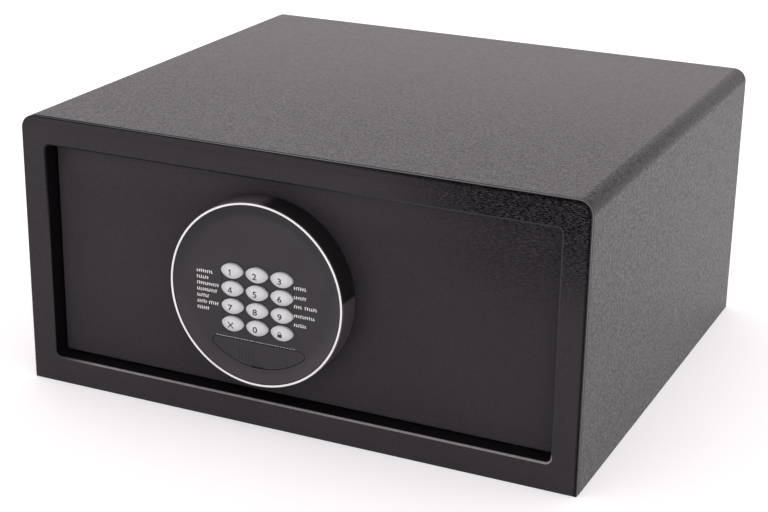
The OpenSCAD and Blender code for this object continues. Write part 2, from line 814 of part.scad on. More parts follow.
module gear_motor() {
    color("gray") difference() {
        union() {
            block([pinion_x - gearbox_w / 2, gearbox_y0, gearbox_z0],
                  [pinion_x + gearbox_w / 2, gearbox_y1, gearbox_z1]);
            bar_x(pinion_x + gearbox_w / 2, pinion_x + gearbox_w / 2 + motor_len, motor_y, motor_z, motor_r);
        }
        bar_y(pinion_x, pinion_z, gearbox_y1 - 6, gearbox_y1 + 1, shaft_r + fit);
        for (x = motor_screw_x())
            bar_y(x, motor_screw_z, gearbox_y0 - 1, gearbox_y1 + 1, motor_screw_r + seat);
    }
}

module motor_screws() {
    color("silver") for (x = motor_screw_x()) {
        bar_y(x, motor_screw_z, door_back, gearbox_y1, motor_screw_r);
        bar_y(x, motor_screw_z, gearbox_y1, gearbox_y1 + 1.5, 2.3);
    }
}

module motor_pinion() {
    color("goldenrod") {
        translate([pinion_x, 0, pinion_z]) upright(bolt_y - pinion_w / 2, bolt_y + pinion_w / 2)
            polygon(pinion_points());
        bar_y(pinion_x, pinion_z, gearbox_y1 - 5, bolt_y, shaft_r);
    }
}

// ---- batteries ----

module battery_box() {
    color([0.12, 0.12, 0.13]) difference() {
        block([box_x0 - box_wall, pan_in - box_in_d - box_wall, box_z0 - box_wall],
              [box_x1 + box_wall, pan_in, box_z0 + box_in_h + box_wall]);
        block([box_x0, pan_in - box_in_d, box_z0], [box_x1, pan_in + 1, box_z0 + box_in_h]);
    }
}

function cell_x(i) = box_x0 + 0.5 + cell_pitch * (i + 0.5);

module batteries() {
    for (i = [0:cell_count - 1]) {
        up = i % 2 == 0;
        z = box_z0 + cell_end + (up ? 0 : cell_nub);
        color("darkolivegreen") translate([cell_x(i), cell_y, z]) cylinder(h = cell_len, r = cell_r);
        color("silver") translate([cell_x(i), cell_y, up ? z + cell_len : z - cell_nub])
            cylinder(h = cell_nub, r = cell_r * 0.35);
    }
}

module battery_contacts() {
    color("silver") for (i = [0:cell_count - 1], end = [0, 1]) {
        z = end == 0 ? box_z0 : box_z0 + box_in_h - cell_end;
        translate([cell_x(i), cell_y, z]) cylinder(h = cell_end, r = cell_r * 0.55);
    }
}

module battery_cover() {
    color([0.12, 0.12, 0.13]) difference() {
        union() {
            block([box_x0 - cover_lap, pan_back, box_z0 - cover_lap],
                  [box_x1 + cover_lap, pan_back + 1.8, box_z0 + box_in_h + cover_lap]);
            block([box_x0 + loose, pan_in + 0.2, box_z0 + loose],
                  [box_x1 - loose, pan_back + 0.5, box_z0 + box_in_h - loose]);
        }
        bar_x((box_x0 + box_x1) / 2 - 8, (box_x0 + box_x1) / 2 + 8, pan_back + 1.8,
              box_z0 + box_in_h - 4, 1.1);
    }
}

// thin lead through hand-placed points
module lead(points) {
    for (i = [0:len(points) - 2]) hull() {
        translate(points[i]) sphere(lead_r, $fn = 10);
        translate(points[i + 1]) sphere(lead_r, $fn = 10);
    }
}

module battery_lead() {
    x = keypad_x + cable_at[0];
    z = mid_z + cable_at[1];
    top = pinion_z + lead_rise;
    back = door_back + lead_depth;
    color("firebrick") lead([
        [x - 1.6, lead_start_y, z], [x - 1.6, door_back + 6, z], [x + 2, back, z + 8],
        [x + 10, back, top - 4], [x + 18, back, top],
        [box_x0 - 16, back, top], [box_x0 - 8, back + 4, top - 4],
        [box_x0 - 6, cell_y - 2, mid_z + 26], [box_x0 - 5, cell_y, mid_z + 22],
        [box_x0 - box_wall - lead_r - 0.1, cell_y, mid_z + 20]]);
}

module motor_lead() {
    x = keypad_x + cable_at[0];
    z = mid_z + cable_at[1];
    top = pinion_z + motor_lead_rise;
    back = door_back + motor_lead_depth;
    end = pinion_x + gearbox_w / 2 + motor_len;
    color("dimgray") lead([
        [x + 1.6, lead_start_y, z], [x + 1.6, door_back + 5, z], [x + 6, back, z + 6],
        [x + 14, back, top - 3], [x + 22, back, top],
        [end, motor_y, top], [end + 5, motor_y, top - 5], [end + 5, motor_y, motor_z + 3],
        [end + lead_r + 0.1, motor_y, motor_z]]);
}

cabinet_shell();
base_plate();
back_panel();
front_frame();
bolt_keeper();
door_stops();
pivot_bushes();
thrust_washer();
floor_mat();
door_plate();
hinge_blocks();
hinge_pin(door_z1 - pin_seat_depth, open_z1 + lip_t + bush_h);  // upper_hinge_pin
hinge_pin(open_z0 - lip_t - bush_h, door_z0 + pin_seat_depth);  // lower_hinge_pin
inner_cover();
cover_posts();
cover_screws();
housing_gasket();
keypad_housing();
trim_ring();
face_panel();
lock_well();
key_mat();
circuit_board();
board_screws();
housing_screws();
cable_grommet();
lock_barrel();
lock_nut();
lock_plug();
lock_cam();
cam_screw();
lock_cover();
bolt_carriage();
locking_bolt(bolt_z[1]);  // upper_bolt
locking_bolt(bolt_z[0]);  // lower_bolt
bolt_clips();
bolt_guides();
carriage_guides();
motor_bracket();
gear_motor();
motor_screws();
motor_pinion();
battery_box();
batteries();
battery_contacts();
battery_cover();
battery_lead();
motor_lead();
for (k = [0:11]) {
    key_cap(k);
}
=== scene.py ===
import json
import math

import bmesh
import bpy
import numpy as np
from mathutils import Matrix, Vector, geometry


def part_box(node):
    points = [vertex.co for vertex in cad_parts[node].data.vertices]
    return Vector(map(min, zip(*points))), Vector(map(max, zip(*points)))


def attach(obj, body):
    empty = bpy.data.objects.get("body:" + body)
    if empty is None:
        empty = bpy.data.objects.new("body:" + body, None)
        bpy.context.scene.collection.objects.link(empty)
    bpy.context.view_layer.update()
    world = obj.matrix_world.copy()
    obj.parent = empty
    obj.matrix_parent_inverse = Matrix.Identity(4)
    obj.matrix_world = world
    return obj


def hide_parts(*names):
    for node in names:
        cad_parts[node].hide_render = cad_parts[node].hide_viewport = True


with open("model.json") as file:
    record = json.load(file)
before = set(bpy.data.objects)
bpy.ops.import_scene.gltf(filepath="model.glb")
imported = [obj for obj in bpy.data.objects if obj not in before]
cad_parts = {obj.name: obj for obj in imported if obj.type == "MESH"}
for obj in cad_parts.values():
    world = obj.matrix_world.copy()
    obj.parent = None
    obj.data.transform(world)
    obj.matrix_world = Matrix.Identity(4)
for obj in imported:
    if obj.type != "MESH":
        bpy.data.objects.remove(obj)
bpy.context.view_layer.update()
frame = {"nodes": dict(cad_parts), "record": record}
nodes = frame["nodes"]
bodyOf = {}
for bodyName, members in frame["record"]["behaviour"]["bodies"].items():
    bodyOf.update({member: bodyName for member in members})
slotOf = {row["node"]: row["material_slot"] for row in frame["record"]["subparts"]}
mm = 0.001
tau = 2 * math.pi

# camera: turned and raised as the photograph was taken

camera = {"lens": 82.3859, "sensor": 36.0, "azimuth": 24.9105, "elevation": 20.2822, "roll": 0.87,
          "place": (0.51965, -1.15088, 0.53561)}


def makeCamera(s):
    # forward from azimuth and elevation, then right and up turned about it by the roll
    data = bpy.data.cameras.new("camera")
    data.lens, data.sensor_width = s["lens"], s["sensor"]
    data.clip_start, data.clip_end = 0.05, 50
    az, el, roll = (math.radians(s[k]) for k in ("azimuth", "elevation", "roll"))
    forward = Vector((-math.sin(az) * math.cos(el), math.cos(az) * math.cos(el), -math.sin(el)))
    right = Vector((math.cos(az), math.sin(az), 0))
    up = right.cross(forward)
    turnedRight = math.cos(roll) * right + math.sin(roll) * up
    turnedUp = math.cos(roll) * up - math.sin(roll) * right
    turn = Matrix((turnedRight, turnedUp, -forward)).transposed()
    seen = bpy.data.objects.new("camera", data)
    seen.matrix_world = Matrix.Translation(s["place"]) @ turn.to_4x4()
    bpy.context.scene.collection.objects.link(seen)
    bpy.context.scene.camera = seen


makeCamera(camera)
print("camera placed")

# meshes from arrays


def gridFaces(rows, cols, wrapRows=False, wrapCols=True):
    # quad (i, j), (i, j+1), (i+1, j+1), (i+1, j) for every cell, wrapping round where asked
    i, j = np.meshgrid(np.arange(rows - (not wrapRows)), np.arange(cols - (not wrapCols)), indexing="ij")
    down, across = (i + 1) % rows, (j + 1) % cols
    quads = np.stack([i * cols + j, i * cols + across, down * cols + across, down * cols + j], -1)
    return quads.reshape(-1, 4).tolist()


def newPiece(name, points, faces, materials, body, replaces=(), slot=None, weighted=True, sharp=40,
             faceMaterial=None):
    # points and faces made a mesh, its doubles merged and its faces turned outwards
    mesh = bpy.data.meshes.new(name)
    mesh.from_pydata(np.asarray(points, float).reshape(-1, 3).tolist(), [], faces)
    for material in materials:
        mesh.materials.append(material)
    if faceMaterial is not None:
        mesh.polygons.foreach_set("material_index", np.asarray(faceMaterial, np.int32))
    work = bmesh.new()
    work.from_mesh(mesh)
    bmesh.ops.remove_doubles(work, verts=work.verts, dist=1e-7)
    bmesh.ops.dissolve_degenerate(work, edges=work.edges, dist=1e-7)
    bmesh.ops.recalc_face_normals(work, faces=work.faces)
    work.to_mesh(mesh)
    work.free()
    return placePiece(name, mesh, body, replaces, weighted, sharp)


def placePiece(name, mesh, body, replaces=(), weighted=True, sharp=40):
    # the piece in the scene, smooth between its sharp edges, riding on its body
    piece = bpy.data.objects.new(name, mesh)
    bpy.context.scene.collection.objects.link(piece)
    mesh.shade_smooth()
    mesh.set_sharp_from_angle(angle=math.radians(sharp))
    if weighted:
        normals = piece.modifiers.new("weightedNormals", "WEIGHTED_NORMAL")
        normals.keep_sharp = True
    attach(piece, body)
    if replaces:
        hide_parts(*replaces)
    return piece


def loopsToFaces(count, steps, closed=False, capFirst=False, capLast=False):
    # rings of equal point count joined by quads, with a flat cap on the first or last ring
    faces = gridFaces(count, steps, wrapRows=closed)
    if capFirst:
        faces.append(list(range(steps))[::-1])
    if capLast:
        faces.append([(count - 1) * steps + k for k in range(steps)])
    return faces


def joined(parts):
    # several meshes as one: points end to end, each face's numbers raised by the points before it
    points, faces, total = [], [], 0
    for more, cells in parts:
        points.append(more)
        faces += [[i + total for i in cell] for cell in cells]
        total += len(more)
    return np.concatenate(points), faces


def camel(words):
    # a node's or slot's name with capitals in place of its underscores
    first, *rest = words.split("_")
    return first + "".join(word.capitalize() for word in rest)


def fillet(corners, radii, steps=5, closed=True):
    # each corner of a polyline becomes an arc of its radius, tangent to both sides
    corners = np.asarray(corners, float)
    made = []
    for k, radius in enumerate(radii):
        here = corners[k]
        if radius <= 0 or (not closed and k in (0, len(corners) - 1)):
            made.append(here[None])
            continue
        back, ahead = corners[k - 1] - here, corners[(k + 1) % len(corners)] - here
        back, ahead = back / np.linalg.norm(back), ahead / np.linalg.norm(ahead)
        half = math.acos(np.clip(back @ ahead, -1, 1)) / 2
        centre = here + (back + ahead) / np.linalg.norm(back + ahead) * radius / math.sin(half)
        start = here + back * radius / math.tan(half) - centre
        end = here + ahead * radius / math.tan(half) - centre
        a0 = math.atan2(start[1], start[0])
        turn = (math.atan2(end[1], end[0]) - a0 + math.pi) % tau - math.pi
        a = a0 + turn * np.linspace(0, 1, steps + 1)
        made.append(centre + radius * np.stack([np.cos(a), np.sin(a)], -1))
    return np.concatenate(made)


def roundRect(x0, x1, z0, z1, radii, steps=8):
    # corner arcs in the order bottom right, top right, top left, bottom left, all with equal steps
    rx = np.array(radii, float)
    cx = np.array([x1 - rx[0], x1 - rx[1], x0 + rx[2], x0 + rx[3]])
    cz = np.array([z0 + rx[0], z1 - rx[1], z1 - rx[2], z0 + rx[3]])
    a = np.radians(np.array([-90, 0, 90, 180])[:, None] + np.linspace(0, 90, steps + 1)[None])
    x = cx[:, None] + rx[:, None] * np.cos(a)
    z = cz[:, None] + rx[:, None] * np.sin(a)
    return np.stack([x.ravel(), z.ravel()], -1)


def upright(outline, y):
    # a plane outline (x, z) stood up at depth y
    return np.stack([outline[:, 0], np.full(len(outline), y), outline[:, 1]], -1)


def slab(outlines, ys):
    # one ring per depth
    return np.concatenate([upright(o, y) for o, y in zip(outlines, ys)])


def quarter(steps):
    # sine and one minus cosine of a quarter turn, for edge roundings
    a = np.linspace(0, math.pi / 2, steps + 1)
    return np.sin(a), 1 - np.cos(a)


def revolve(profile, steps):
    # profile (radius, height out of the door) turned about the keypad's axis
    a = np.linspace(0, tau, steps, endpoint=False)
    r, h = profile[:, 0][:, None], profile[:, 1][:, None]
    x = padX + r * np.cos(a)[None]
    z = padZ + r * np.sin(a)[None]
    y = np.broadcast_to(doorFace - h, x.shape)
    return np.stack([x, y, z], -1).reshape(-1, 3)


# places taken from the frame

shellLow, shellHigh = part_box("cabinet_shell")
frameLow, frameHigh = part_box("front_frame")
doorLow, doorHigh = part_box("door_plate")
houseLow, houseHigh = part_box("keypad_housing")
doorFace = doorLow.y
padX, padZ = (houseLow.x + houseHigh.x) / 2, (houseLow.z + houseHigh.z) / 2
padR = (houseHigh.x - houseLow.x) / 2
halfW, tall = shellHigh.x, shellHigh.z

# settings of the cabinet and the keys, which their materials need too
cabinet = {"sheet": 2 * mm, "bend": 10 * mm, "edge": 0.95 * mm, "arcSteps": 14}
keys = {"w": 17 * mm, "h": 10.8 * mm, "tip": 3 * mm, "pitchX": 18.95 * mm, "pitchZ": 12.8 * mm,
        "topRow": 14.15 * mm, "clear": 0.3 * mm, "proud": 2.5 * mm, "domeR": 26 * mm, "shoulder": 0.7 * mm,
        "flange": 0.7 * mm, "flangeT": 1 * mm, "seatGap": 0.2 * mm, "arcSteps": 16, "rings": 8}

# materials


class Nodes:
    # short wrapper: add a node, set its sockets, link it
    def __init__(self, name):
        self.material = bpy.data.materials.new(name)
        self.material.use_nodes = True
        self.tree = self.material.node_tree
        self.shader = self.tree.nodes["Principled BSDF"]
        self.place = self.add("ShaderNodeTexCoord").outputs["Object"]

    def add(self, kind, inputs=None, **props):
        node = self.tree.nodes.new(kind)
        for key, value in props.items():
            setattr(node, key, value)
        for key, value in (inputs or {}).items():
            if isinstance(value, bpy.types.NodeSocket):
                self.tree.links.new(value, node.inputs[key])
            else:
                node.inputs[key].default_value = value
        return node

    def math(self, operation, a, b=0.0, clamp=False):
        node = self.add("ShaderNodeMath", {0: a, 1: b}, operation=operation, use_clamp=clamp)
        return node.outputs[0]

    def plus(self, a, b, clamp=False):
        return self.math("ADD", a, b, clamp)

    def minus(self, a, b):
        return self.math("SUBTRACT", a, b)

    def times(self, a, b, clamp=False):
        return self.math("MULTIPLY", a, b, clamp)

    def length(self, a, b):
        return self.math("SQRT", self.plus(self.times(a, a), self.times(b, b)))

    def noise(self, scale, detail=2.0, rough=0.5, place=None, distortion=0.0):
        inputs = {"Vector": place or self.place, "Scale": scale, "Detail": detail, "Roughness": rough,
                  "Distortion": distortion}
        return self.add("ShaderNodeTexNoise", inputs).outputs["Fac"]

    def stretch(self, scale, turn=(0, 0, 0)):
        node = self.add("ShaderNodeMapping", {"Vector": self.place, "Scale": scale, "Rotation": turn})
        return node.outputs["Vector"]

    def ramp(self, value, stops):
        node = self.add("ShaderNodeValToRGB", {"Fac": value})
        ramp = node.color_ramp
        while len(ramp.elements) < len(stops):
            ramp.elements.new(0.5)
        for element, (at, colour) in zip(ramp.elements, stops):
            element.position = at
            element.color = (*colour, 1) if len(colour) == 3 else colour
        return node.outputs["Color"]

    def parts(self):
        # the three object coordinates as single values
        return self.add("ShaderNodeSeparateXYZ", {0: self.place}).outputs[:]

    def ease(self, value, low, high):
        # smooth step from 0 at low to 1 at high, in either direction
        node = self.add("ShaderNodeMapRange", {"Value": value, "From Min": low, "From Max": high},
                        interpolation_type="SMOOTHSTEP")
        return node.outputs["Result"]

    def lerp(self, share, a, b):
        node = self.add("ShaderNodeMath", {0: share, 1: b - a, 2: a}, operation="MULTIPLY_ADD")
        return node.outputs[0]

    def pastFlats(self, x, z):
        # how far a point lies past the flat sides and past the flat top, 0 on the flats themselves
        r = cabinet["bend"]
        dx = self.math("MAXIMUM", self.minus(self.math("ABSOLUTE", x), halfW - r), 0.0)
        dz = self.math("MAXIMUM", self.minus(z, tall - r), 0.0)
        return dx, dz

    def edgeAway(self, x, z):
        # distance from the cabinet's outline seen from the front, up to the bend's radius
        return self.minus(cabinet["bend"], self.length(*self.pastFlats(x, z)))

    def bendMiddle(self, x, z):
        # root of twice sine times cosine of the angle round the cabinet's bend: 0 on the flats, 1 half way
        dx, dz = self.pastFlats(x, z)
        return self.math("SQRT", self.times(self.times(dx, dz), 2 / cabinet["bend"] ** 2, clamp=True))

    def tone(self, value, tint):
        # one brightness times a tint, as a colour
        node = self.add("ShaderNodeVectorMath", {0: tint, "Scale": value}, operation="SCALE")
        return node.outputs[0]

    def bump(self, height, distance, strength=1.0):
        inputs = {"Height": height, "Distance": distance, "Strength": strength}
        return self.add("ShaderNodeBump", inputs).outputs["Normal"]

    def set(self, **sockets):
        for key, value in sockets.items():
            name = {"colour": "Base Color", "rough": "Roughness", "metal": "Metallic", "normal": "Normal",
                    "ior": "IOR", "sheen": "Sheen Weight", "sheenRough": "Sheen Roughness",
                    "spec": "Specular IOR Level", "specTint": "Specular Tint"}[key]
            socket = self.shader.inputs[name]
            if isinstance(value, bpy.types.NodeSocket):
                self.tree.links.new(value, socket)
            elif name in ("Base Color", "Specular Tint"):
                socket.default_value = (*value, 1)
            else:
                socket.default_value = value
        return self.material


def grey(value, tint=(1, 1, 1)):
    return tuple(value * t for t in tint)


def grainBump(n, size, depth, strength=0.8):
    # fine spark texture: a noise of that grain size, and the relief that it gives
    grain = n.noise(1 / size, 3.0, 0.6)
    return grain, n.bump(grain, depth, strength)


def coatPaint(name, s):
    # leather powder coat: smooth cells bent by a noise, drawn out along the depth; the seams between the
    # cells sink and get painted shade, a few specks are darker, and both reflect less. Painted shade also
    # darkens the bend, most at its middle, the top towards its rear, where the seams fade, and a band along
    # the outer outline towards the right; the top reflects more than the sides, a painted highlight. Towards
    # the front's top right corner a drawn-out noise folds it: painted shade below the noise's middle, a
    # painted highlight on its crests. Along the door's left, lower and upper edges painted light makes it a
    # little lighter, against the shade of the frame's lip
    n = Nodes(name)
    x, y, z = n.parts()
    above = n.ease(z, tall - 9 * mm, tall - 2 * mm)
    drawn = n.times(y, n.lerp(above, s["sideStretch"], s["topStretch"]))
    flat = n.add("ShaderNodeCombineXYZ", {0: x, 1: drawn, 2: z}).outputs[0]
    warp = n.add("ShaderNodeTexNoise", {"Vector": flat, "Scale": 1 / s["warpSize"], "Detail": 2.0})
    centred = n.add("ShaderNodeVectorMath", {0: warp.outputs["Color"], 1: (0.5, 0.5, 0.5)},
                    operation="SUBTRACT").outputs[0]
    bent = n.add("ShaderNodeVectorMath", {0: flat, 1: n.tone(s["warp"], centred)}, operation="ADD").outputs[0]
    cells = n.add("ShaderNodeTexVoronoi", {"Vector": bent, "Scale": 1 / s["grain"], "Smoothness": 0.6},
                  feature="SMOOTH_F1").outputs["Distance"]
    fine = n.noise(1 / s["fine"], 3.0, 0.6, flat)
    height = n.plus(n.times(cells, -1.0), n.times(fine, s["fineShare"]))
    seam = n.ease(n.plus(cells, n.times(fine, 0.6)), *s["seams"])
    speck = n.ease(n.noise(1 / s["speckSize"], 1.0, 0.5, flat), *s["specks"])
    rear = n.times(above, n.ease(y, *s["rear"]))
    # painted shade in the seams between the cells; the specks are darker too
    less = n.plus(n.times(seam, n.lerp(above, s["seamShade"], s["seamShade"] * s["topSeamShade"])),
                  n.times(speck, s["speck"]))
    less = n.times(less, n.lerp(rear, 1.0, s["rearShare"]))

    # towards the top right corner: painted shade in the folds' hollows and a painted highlight on their
    # crests
    corner = n.times(n.times(n.ease(x, *s["wrinkleShadingX"]), n.ease(z, *s["wrinkleShadingZ"])), s["wrinkleShading"])
    turned = n.stretch(s["foldDrawn"], (0, math.radians(s["foldTurn"]), 0))
    wave = n.noise(1 / s["waveSize"], 2.0, 0.5, turned, 0.7)
    foldShade = n.minus(n.lerp(n.ease(wave, *s["folds"]), 0.06, 0.95), 1.0)
    ridge = n.times(n.ease(wave, *s["crests"]), corner)

    # painted shade in a band along the cabinet's outer outline, towards the right
    band = n.ease(n.edgeAway(x, z), s["band"], s["band"] * 0.3)
    band = n.times(n.times(band, n.ease(x, -0.05, 0.12)), s["bandShade"])
    keep = n.times(n.minus(1.0, less), n.plus(n.times(foldShade, corner), 1.0))
    keep = n.times(keep, n.minus(1.0, band))
    # painted shade on the bend between top and side, most at its middle
    keep = n.times(keep, n.lerp(n.bendMiddle(x, z), 1.0, 1 - s["bendShade"]))
    # painted shade towards the rear of the top
    keep = n.times(keep, n.lerp(rear, 1.0, s["rearShade"]))

    # painted light along the door's left, lower and upper edges, against the shade of the frame's lip
    left = n.ease(x, doorLow.x + s["liftLeft"], doorLow.x)
    low = n.ease(z, doorLow.z + s["liftLow"], doorLow.z)
    high = n.times(n.ease(z, doorHigh.z - s["liftHigh"], doorHigh.z), 0.8)
    hem = n.math("MAXIMUM", n.math("MAXIMUM", left, low), high)
    patch = n.times(n.lerp(n.noise(9.0, 3.0), 0.75, 1.25), s["base"])
    shade = n.plus(n.times(patch, keep), n.times(ridge, s["ridge"]))
    shade = n.times(shade, n.lerp(hem, 1.0, s["hem"]))
    rough = n.lerp(n.noise(1 / (2.5 * s["grain"]), 2.0), s["rough"] - 0.08, s["rough"] + 0.08)
    # the top reflects more than the sides: a painted highlight
    spec = n.times(keep, n.lerp(above, s["spec"], s["topSpec"]))
    return n.set(colour=n.tone(shade, s["tint"]), rough=rough, ior=1.5, spec=spec, specTint=s["specTint"],
                 normal=n.bump(height, s["depth"], s["strength"]))


def edgePaint(name, s):
    # the same paint on the opening's bend, with painted highlights: lighter along the opening's bottom bend,
    # and less so towards the top right corner, in patches, over an even tone; painted shade along the top's
    # left half
    n = Nodes(name)
    x, y, z = n.parts()
    bottom = n.times(n.ease(z, *s["bottomZ"]), n.ease(x, *s["bottomX"]))
    corner = n.times(n.ease(x, *s["cornerX"]), n.ease(z, *s["cornerZ"]))
    topLeft = n.times(n.ease(x, *s["leftX"]), n.ease(z, *s["leftZ"]))
    bendGlint = n.lerp(n.noise(1 / s["glintSize"], 3.0), 0.6, 1.3)
    lighter = n.plus(n.times(bottom, s["bottom"]), n.times(corner, s["corner"]))
    shade = n.plus(n.times(lighter, bendGlint), s["base"])
    keep = n.lerp(topLeft, 1.0, s["topLeft"])
    relief = grainBump(n, s["grain"], s["depth"], 0.6)[1]
    return n.set(colour=n.tone(n.times(shade, keep), s["tint"]), rough=0.38, normal=relief, ior=1.5,
                 spec=n.times(keep, n.lerp(corner, 0.4, s["cornerSpec"])))


def jointShade(name, s):
    # painted shadow in the joint behind the frame, fading into the coat towards the right
    n = Nodes(name)
    right = n.ease(n.parts()[0], *s["fade"])
    grain, relief = grainBump(n, s["grain"], s["depth"], 0.6)
    shade = n.times(n.lerp(right, 0.001, s["base"]), n.lerp(grain, 0.7, 1.3))
    return n.set(colour=n.tone(shade, s["tint"]), rough=0.5, normal=relief, ior=1.5,
                 spec=n.lerp(right, 0.02, 0.55))


def edgeLine(name, s):
    # the front plate's outer edge: one tone on the sides, and on the top one that changes from left to right,
    # painted shade where it is dark and a painted highlight where it is light
    n = Nodes(name)
    x, y, z = n.parts()
    top, right = n.ease(z, tall - 8 * mm, tall - 2 * mm), n.ease(x, *s["fade"])
    along = n.lerp(right, s["left"], s["right"])
    share = n.plus(n.times(top, n.minus(along, s["side"])), s["side"])
    grain, relief = grainBump(n, s["grain"], s["depth"], 0.6)
    shade = n.times(n.times(share, n.lerp(grain, 0.75, 1.25)), s["base"])
    return n.set(colour=n.tone(shade, s["tint"]), rough=0.4, normal=relief, ior=1.5,
                 spec=n.times(share, s["spec"]))


def satinMetal(name, s):
    # drawn or turned metal: fine stretched lines plus faint blotches
    n = Nodes(name)
    lines = n.noise(1.0, 3.0, 0.6, n.stretch(s["lines"]))
    blotch = n.noise(60.0, 3.0)
    colour = n.ramp(blotch, [(0.3, grey(0.86, s["colour"])), (0.7, s["colour"])])
    rough = n.plus(n.times(blotch, 0.14), s["rough"] - 0.07)
    return n.set(colour=colour, rough=rough, metal=1.0, normal=n.bump(lines, s["depth"], 0.6))


def moulded(name, s):
    # moulded plastic or rubber: fine spark texture and faint tone variation
    n = Nodes(name)
    tone = n.ramp(n.noise(45.0, 3.0), [(0.3, grey(0.88, s["colour"])), (0.7, s["colour"])])
    rough = n.plus(n.times(n.noise(180.0, 2.0), 0.12), s["rough"] - 0.06)
    return n.set(colour=tone, rough=rough, normal=grainBump(n, s["grain"], s["depth"])[1], ior=1.48,
                 spec=s.get("spec", 0.5))


def ringShade(name, s):
    # moulding whose tone follows the angle round the keypad's axis: painted shade over one arc, lighter
    # elsewhere
    n = Nodes(name)
    x, y, z = n.parts()
    angle = n.math("ARCTAN2", n.minus(z, padZ), n.minus(x, padX))
    arc = n.times(n.ease(angle, *np.radians(s["from"])), n.ease(angle, *np.radians(s["to"])))
    grain, relief = grainBump(n, s["grain"], s["depth"])
    shade = n.times(n.lerp(arc, s["light"], s["dark"]), n.lerp(grain, 0.8, 1.2))
    return n.set(colour=n.tone(shade, s["tint"]), rough=s["rough"], normal=relief,
                 spec=n.lerp(arc, *s["spec"]))


def keyShade(name, s):
    # key moulding with painted light: lightest a little above the middle of each key, and painted shade
    # towards its rim
    n = Nodes(name)
    x, y, z = n.parts()
    across = n.math("DIVIDE", n.minus(x, padX), keys["pitchX"])
    down = n.math("DIVIDE", n.minus(z, padZ + keys["topRow"]), keys["pitchZ"])
    across = n.times(n.minus(across, n.math("ROUND", across)), 2 * keys["pitchX"] / keys["w"])
    down = n.times(n.minus(down, n.math("ROUND", down)), 2 * keys["pitchZ"] / keys["h"])
    away = n.length(across, n.minus(down, s["lift"]))
    shade = n.times(n.lerp(n.ease(away, 0.3, 1.15), s["middle"], s["rim"]),
                    n.lerp(n.noise(1 / s["patchSize"], 2.0), 0.93, 1.07))
    return n.set(colour=n.tone(shade, s["tint"]), rough=s["rough"],
                 normal=grainBump(n, s["grain"], s["depth"])[1], ior=1.48)


def bowlShade(name, s):
    # face moulding: outside the flat disc painted shade makes the tone fall towards the top, and painted
    # light makes it rise towards the bottom
    n = Nodes(name)
    x, y, z = n.parts()
    dx, dz = n.minus(x, padX), n.minus(z, padZ)
    slope = n.times(n.times(dz, -1 / padR), n.ease(n.length(dx, dz), *s["slope"]))
    even = n.lerp(n.noise(30.0, 2.0), 0.9, 1.1)
    keep = n.times(n.plus(n.times(slope, s["change"]), 1.0), even)
    rough = n.lerp(n.noise(180.0, 2.0), s["rough"] - 0.06, s["rough"] + 0.06)
    return n.set(colour=n.tone(n.times(keep, s["base"]), s["tint"]), rough=rough,
                 normal=grainBump(n, s["grain"], s["depth"])[1], spec=n.times(keep, s["spec"]),
                 specTint=s["specTint"])


# the shell's coat: painted shade in the seams, on the bend and towards the top's rear, a painted highlight on
# the top
coat = {"grain": 1.5 * mm, "warpSize": 3.2 * mm, "warp": 1.6 * mm, "fine": 0.8 * mm, "fineShare": 0.6,
        "depth": 0.2 * mm, "strength": 0.9, "sideStretch": 0.6, "topStretch": 0.9, "seams": (0.5, 0.95),
        "seamShade": 0.58, "topSeamShade": 1.08, "base": 0.038, "tint": (1.04, 0.98, 1.0), "rough": 0.40,
        "spec": 0.68, "topSpec": 0.95, "specTint": (1, 0.985, 0.99), "wrinkleShading": 0.0,
        "wrinkleShadingX": (0.065, 0.15), "wrinkleShadingZ": (0.1, 0.19), "waveSize": 1.0 * mm, "foldTurn": -10,
        "foldDrawn": (0.45, 1, 2.2), "folds": (0.41, 0.61), "crests": (0.58, 0.7), "ridge": 0.02,
        "band": 3.2 * mm, "bandShade": 0.0, "bendShade": 0.49, "speckSize": 1.1 * mm, "specks": (0.64, 0.72),
        "speck": 0.25, "rear": (-0.12, 0.16), "rearShare": 0.4, "rearShade": 0.91, "hem": 1.0,
        "liftLeft": 16 * mm, "liftLow": 11 * mm, "liftHigh": 32 * mm}
frontCoat = {**coat, "seamShade": 0.12, "base": 0.0335, "tint": (1.06, 0.94, 1.07), "spec": 0.14,
             "topSpec": 0.14, "specTint": (0.965, 0.93, 1), "bendShade": 0.0, "speck": 0.0}
# the door's coat: painted light along its left, lower and upper edges, painted shade and highlights on the
# folds at its top right
doorCoat = {**frontCoat, "base": 0.032, "wrinkleShading": 0.64, "ridge": 0.017, "wrinkleShadingX": (0.07, 0.17),
            "wrinkleShadingZ": (0.09, 0.18), "waveSize": 1.3 * mm, "hem": 1.4}
# settings of the bend's painted highlights and of its painted shade at the top left
bendGlint = {"bottom": 0.21, "bottomX": (-0.192, -0.15), "bottomZ": (27 * mm, 23.5 * mm), "corner": 0.03,
        "cornerX": (-0.03, 0.14), "cornerZ": (0.05, 0.15), "cornerSpec": 0.2, "topLeft": 0.3,
        "leftX": (0.08, -0.02), "leftZ": (0.1, 0.17), "base": 0.010, "glintSize": 3 * mm,
        "grain": 0.8 * mm, "depth": 0.05 * mm, "tint": (1.03, 0.98, 1.0)}
joint = {"base": 0.0125, "tint": (1.04, 0.98, 1.0), "fade": (0.13, 0.19), "grain": 0.7 * mm,
         "depth": 0.05 * mm}
line = {"base": 0.0125, "spec": 0.72, "tint": (1.04, 0.98, 1.0), "fade": (-0.16, 0.0), "grain": 0.8 * mm,
        "depth": 0.05 * mm}
shellPaint = coatPaint("shellPaint", coat)
# the frame's coat: painted shade in a band along its outer edge, painted shade and highlights on the folds at
# its top right
framePaint = coatPaint("framePaint", {**frontCoat, "wrinkleShading": 1.0, "ridge": 0.036, "bandShade": 0.75})
doorPaint = coatPaint("doorPaint", doorCoat)
bendPaint = edgePaint("bendPaint", bendGlint)
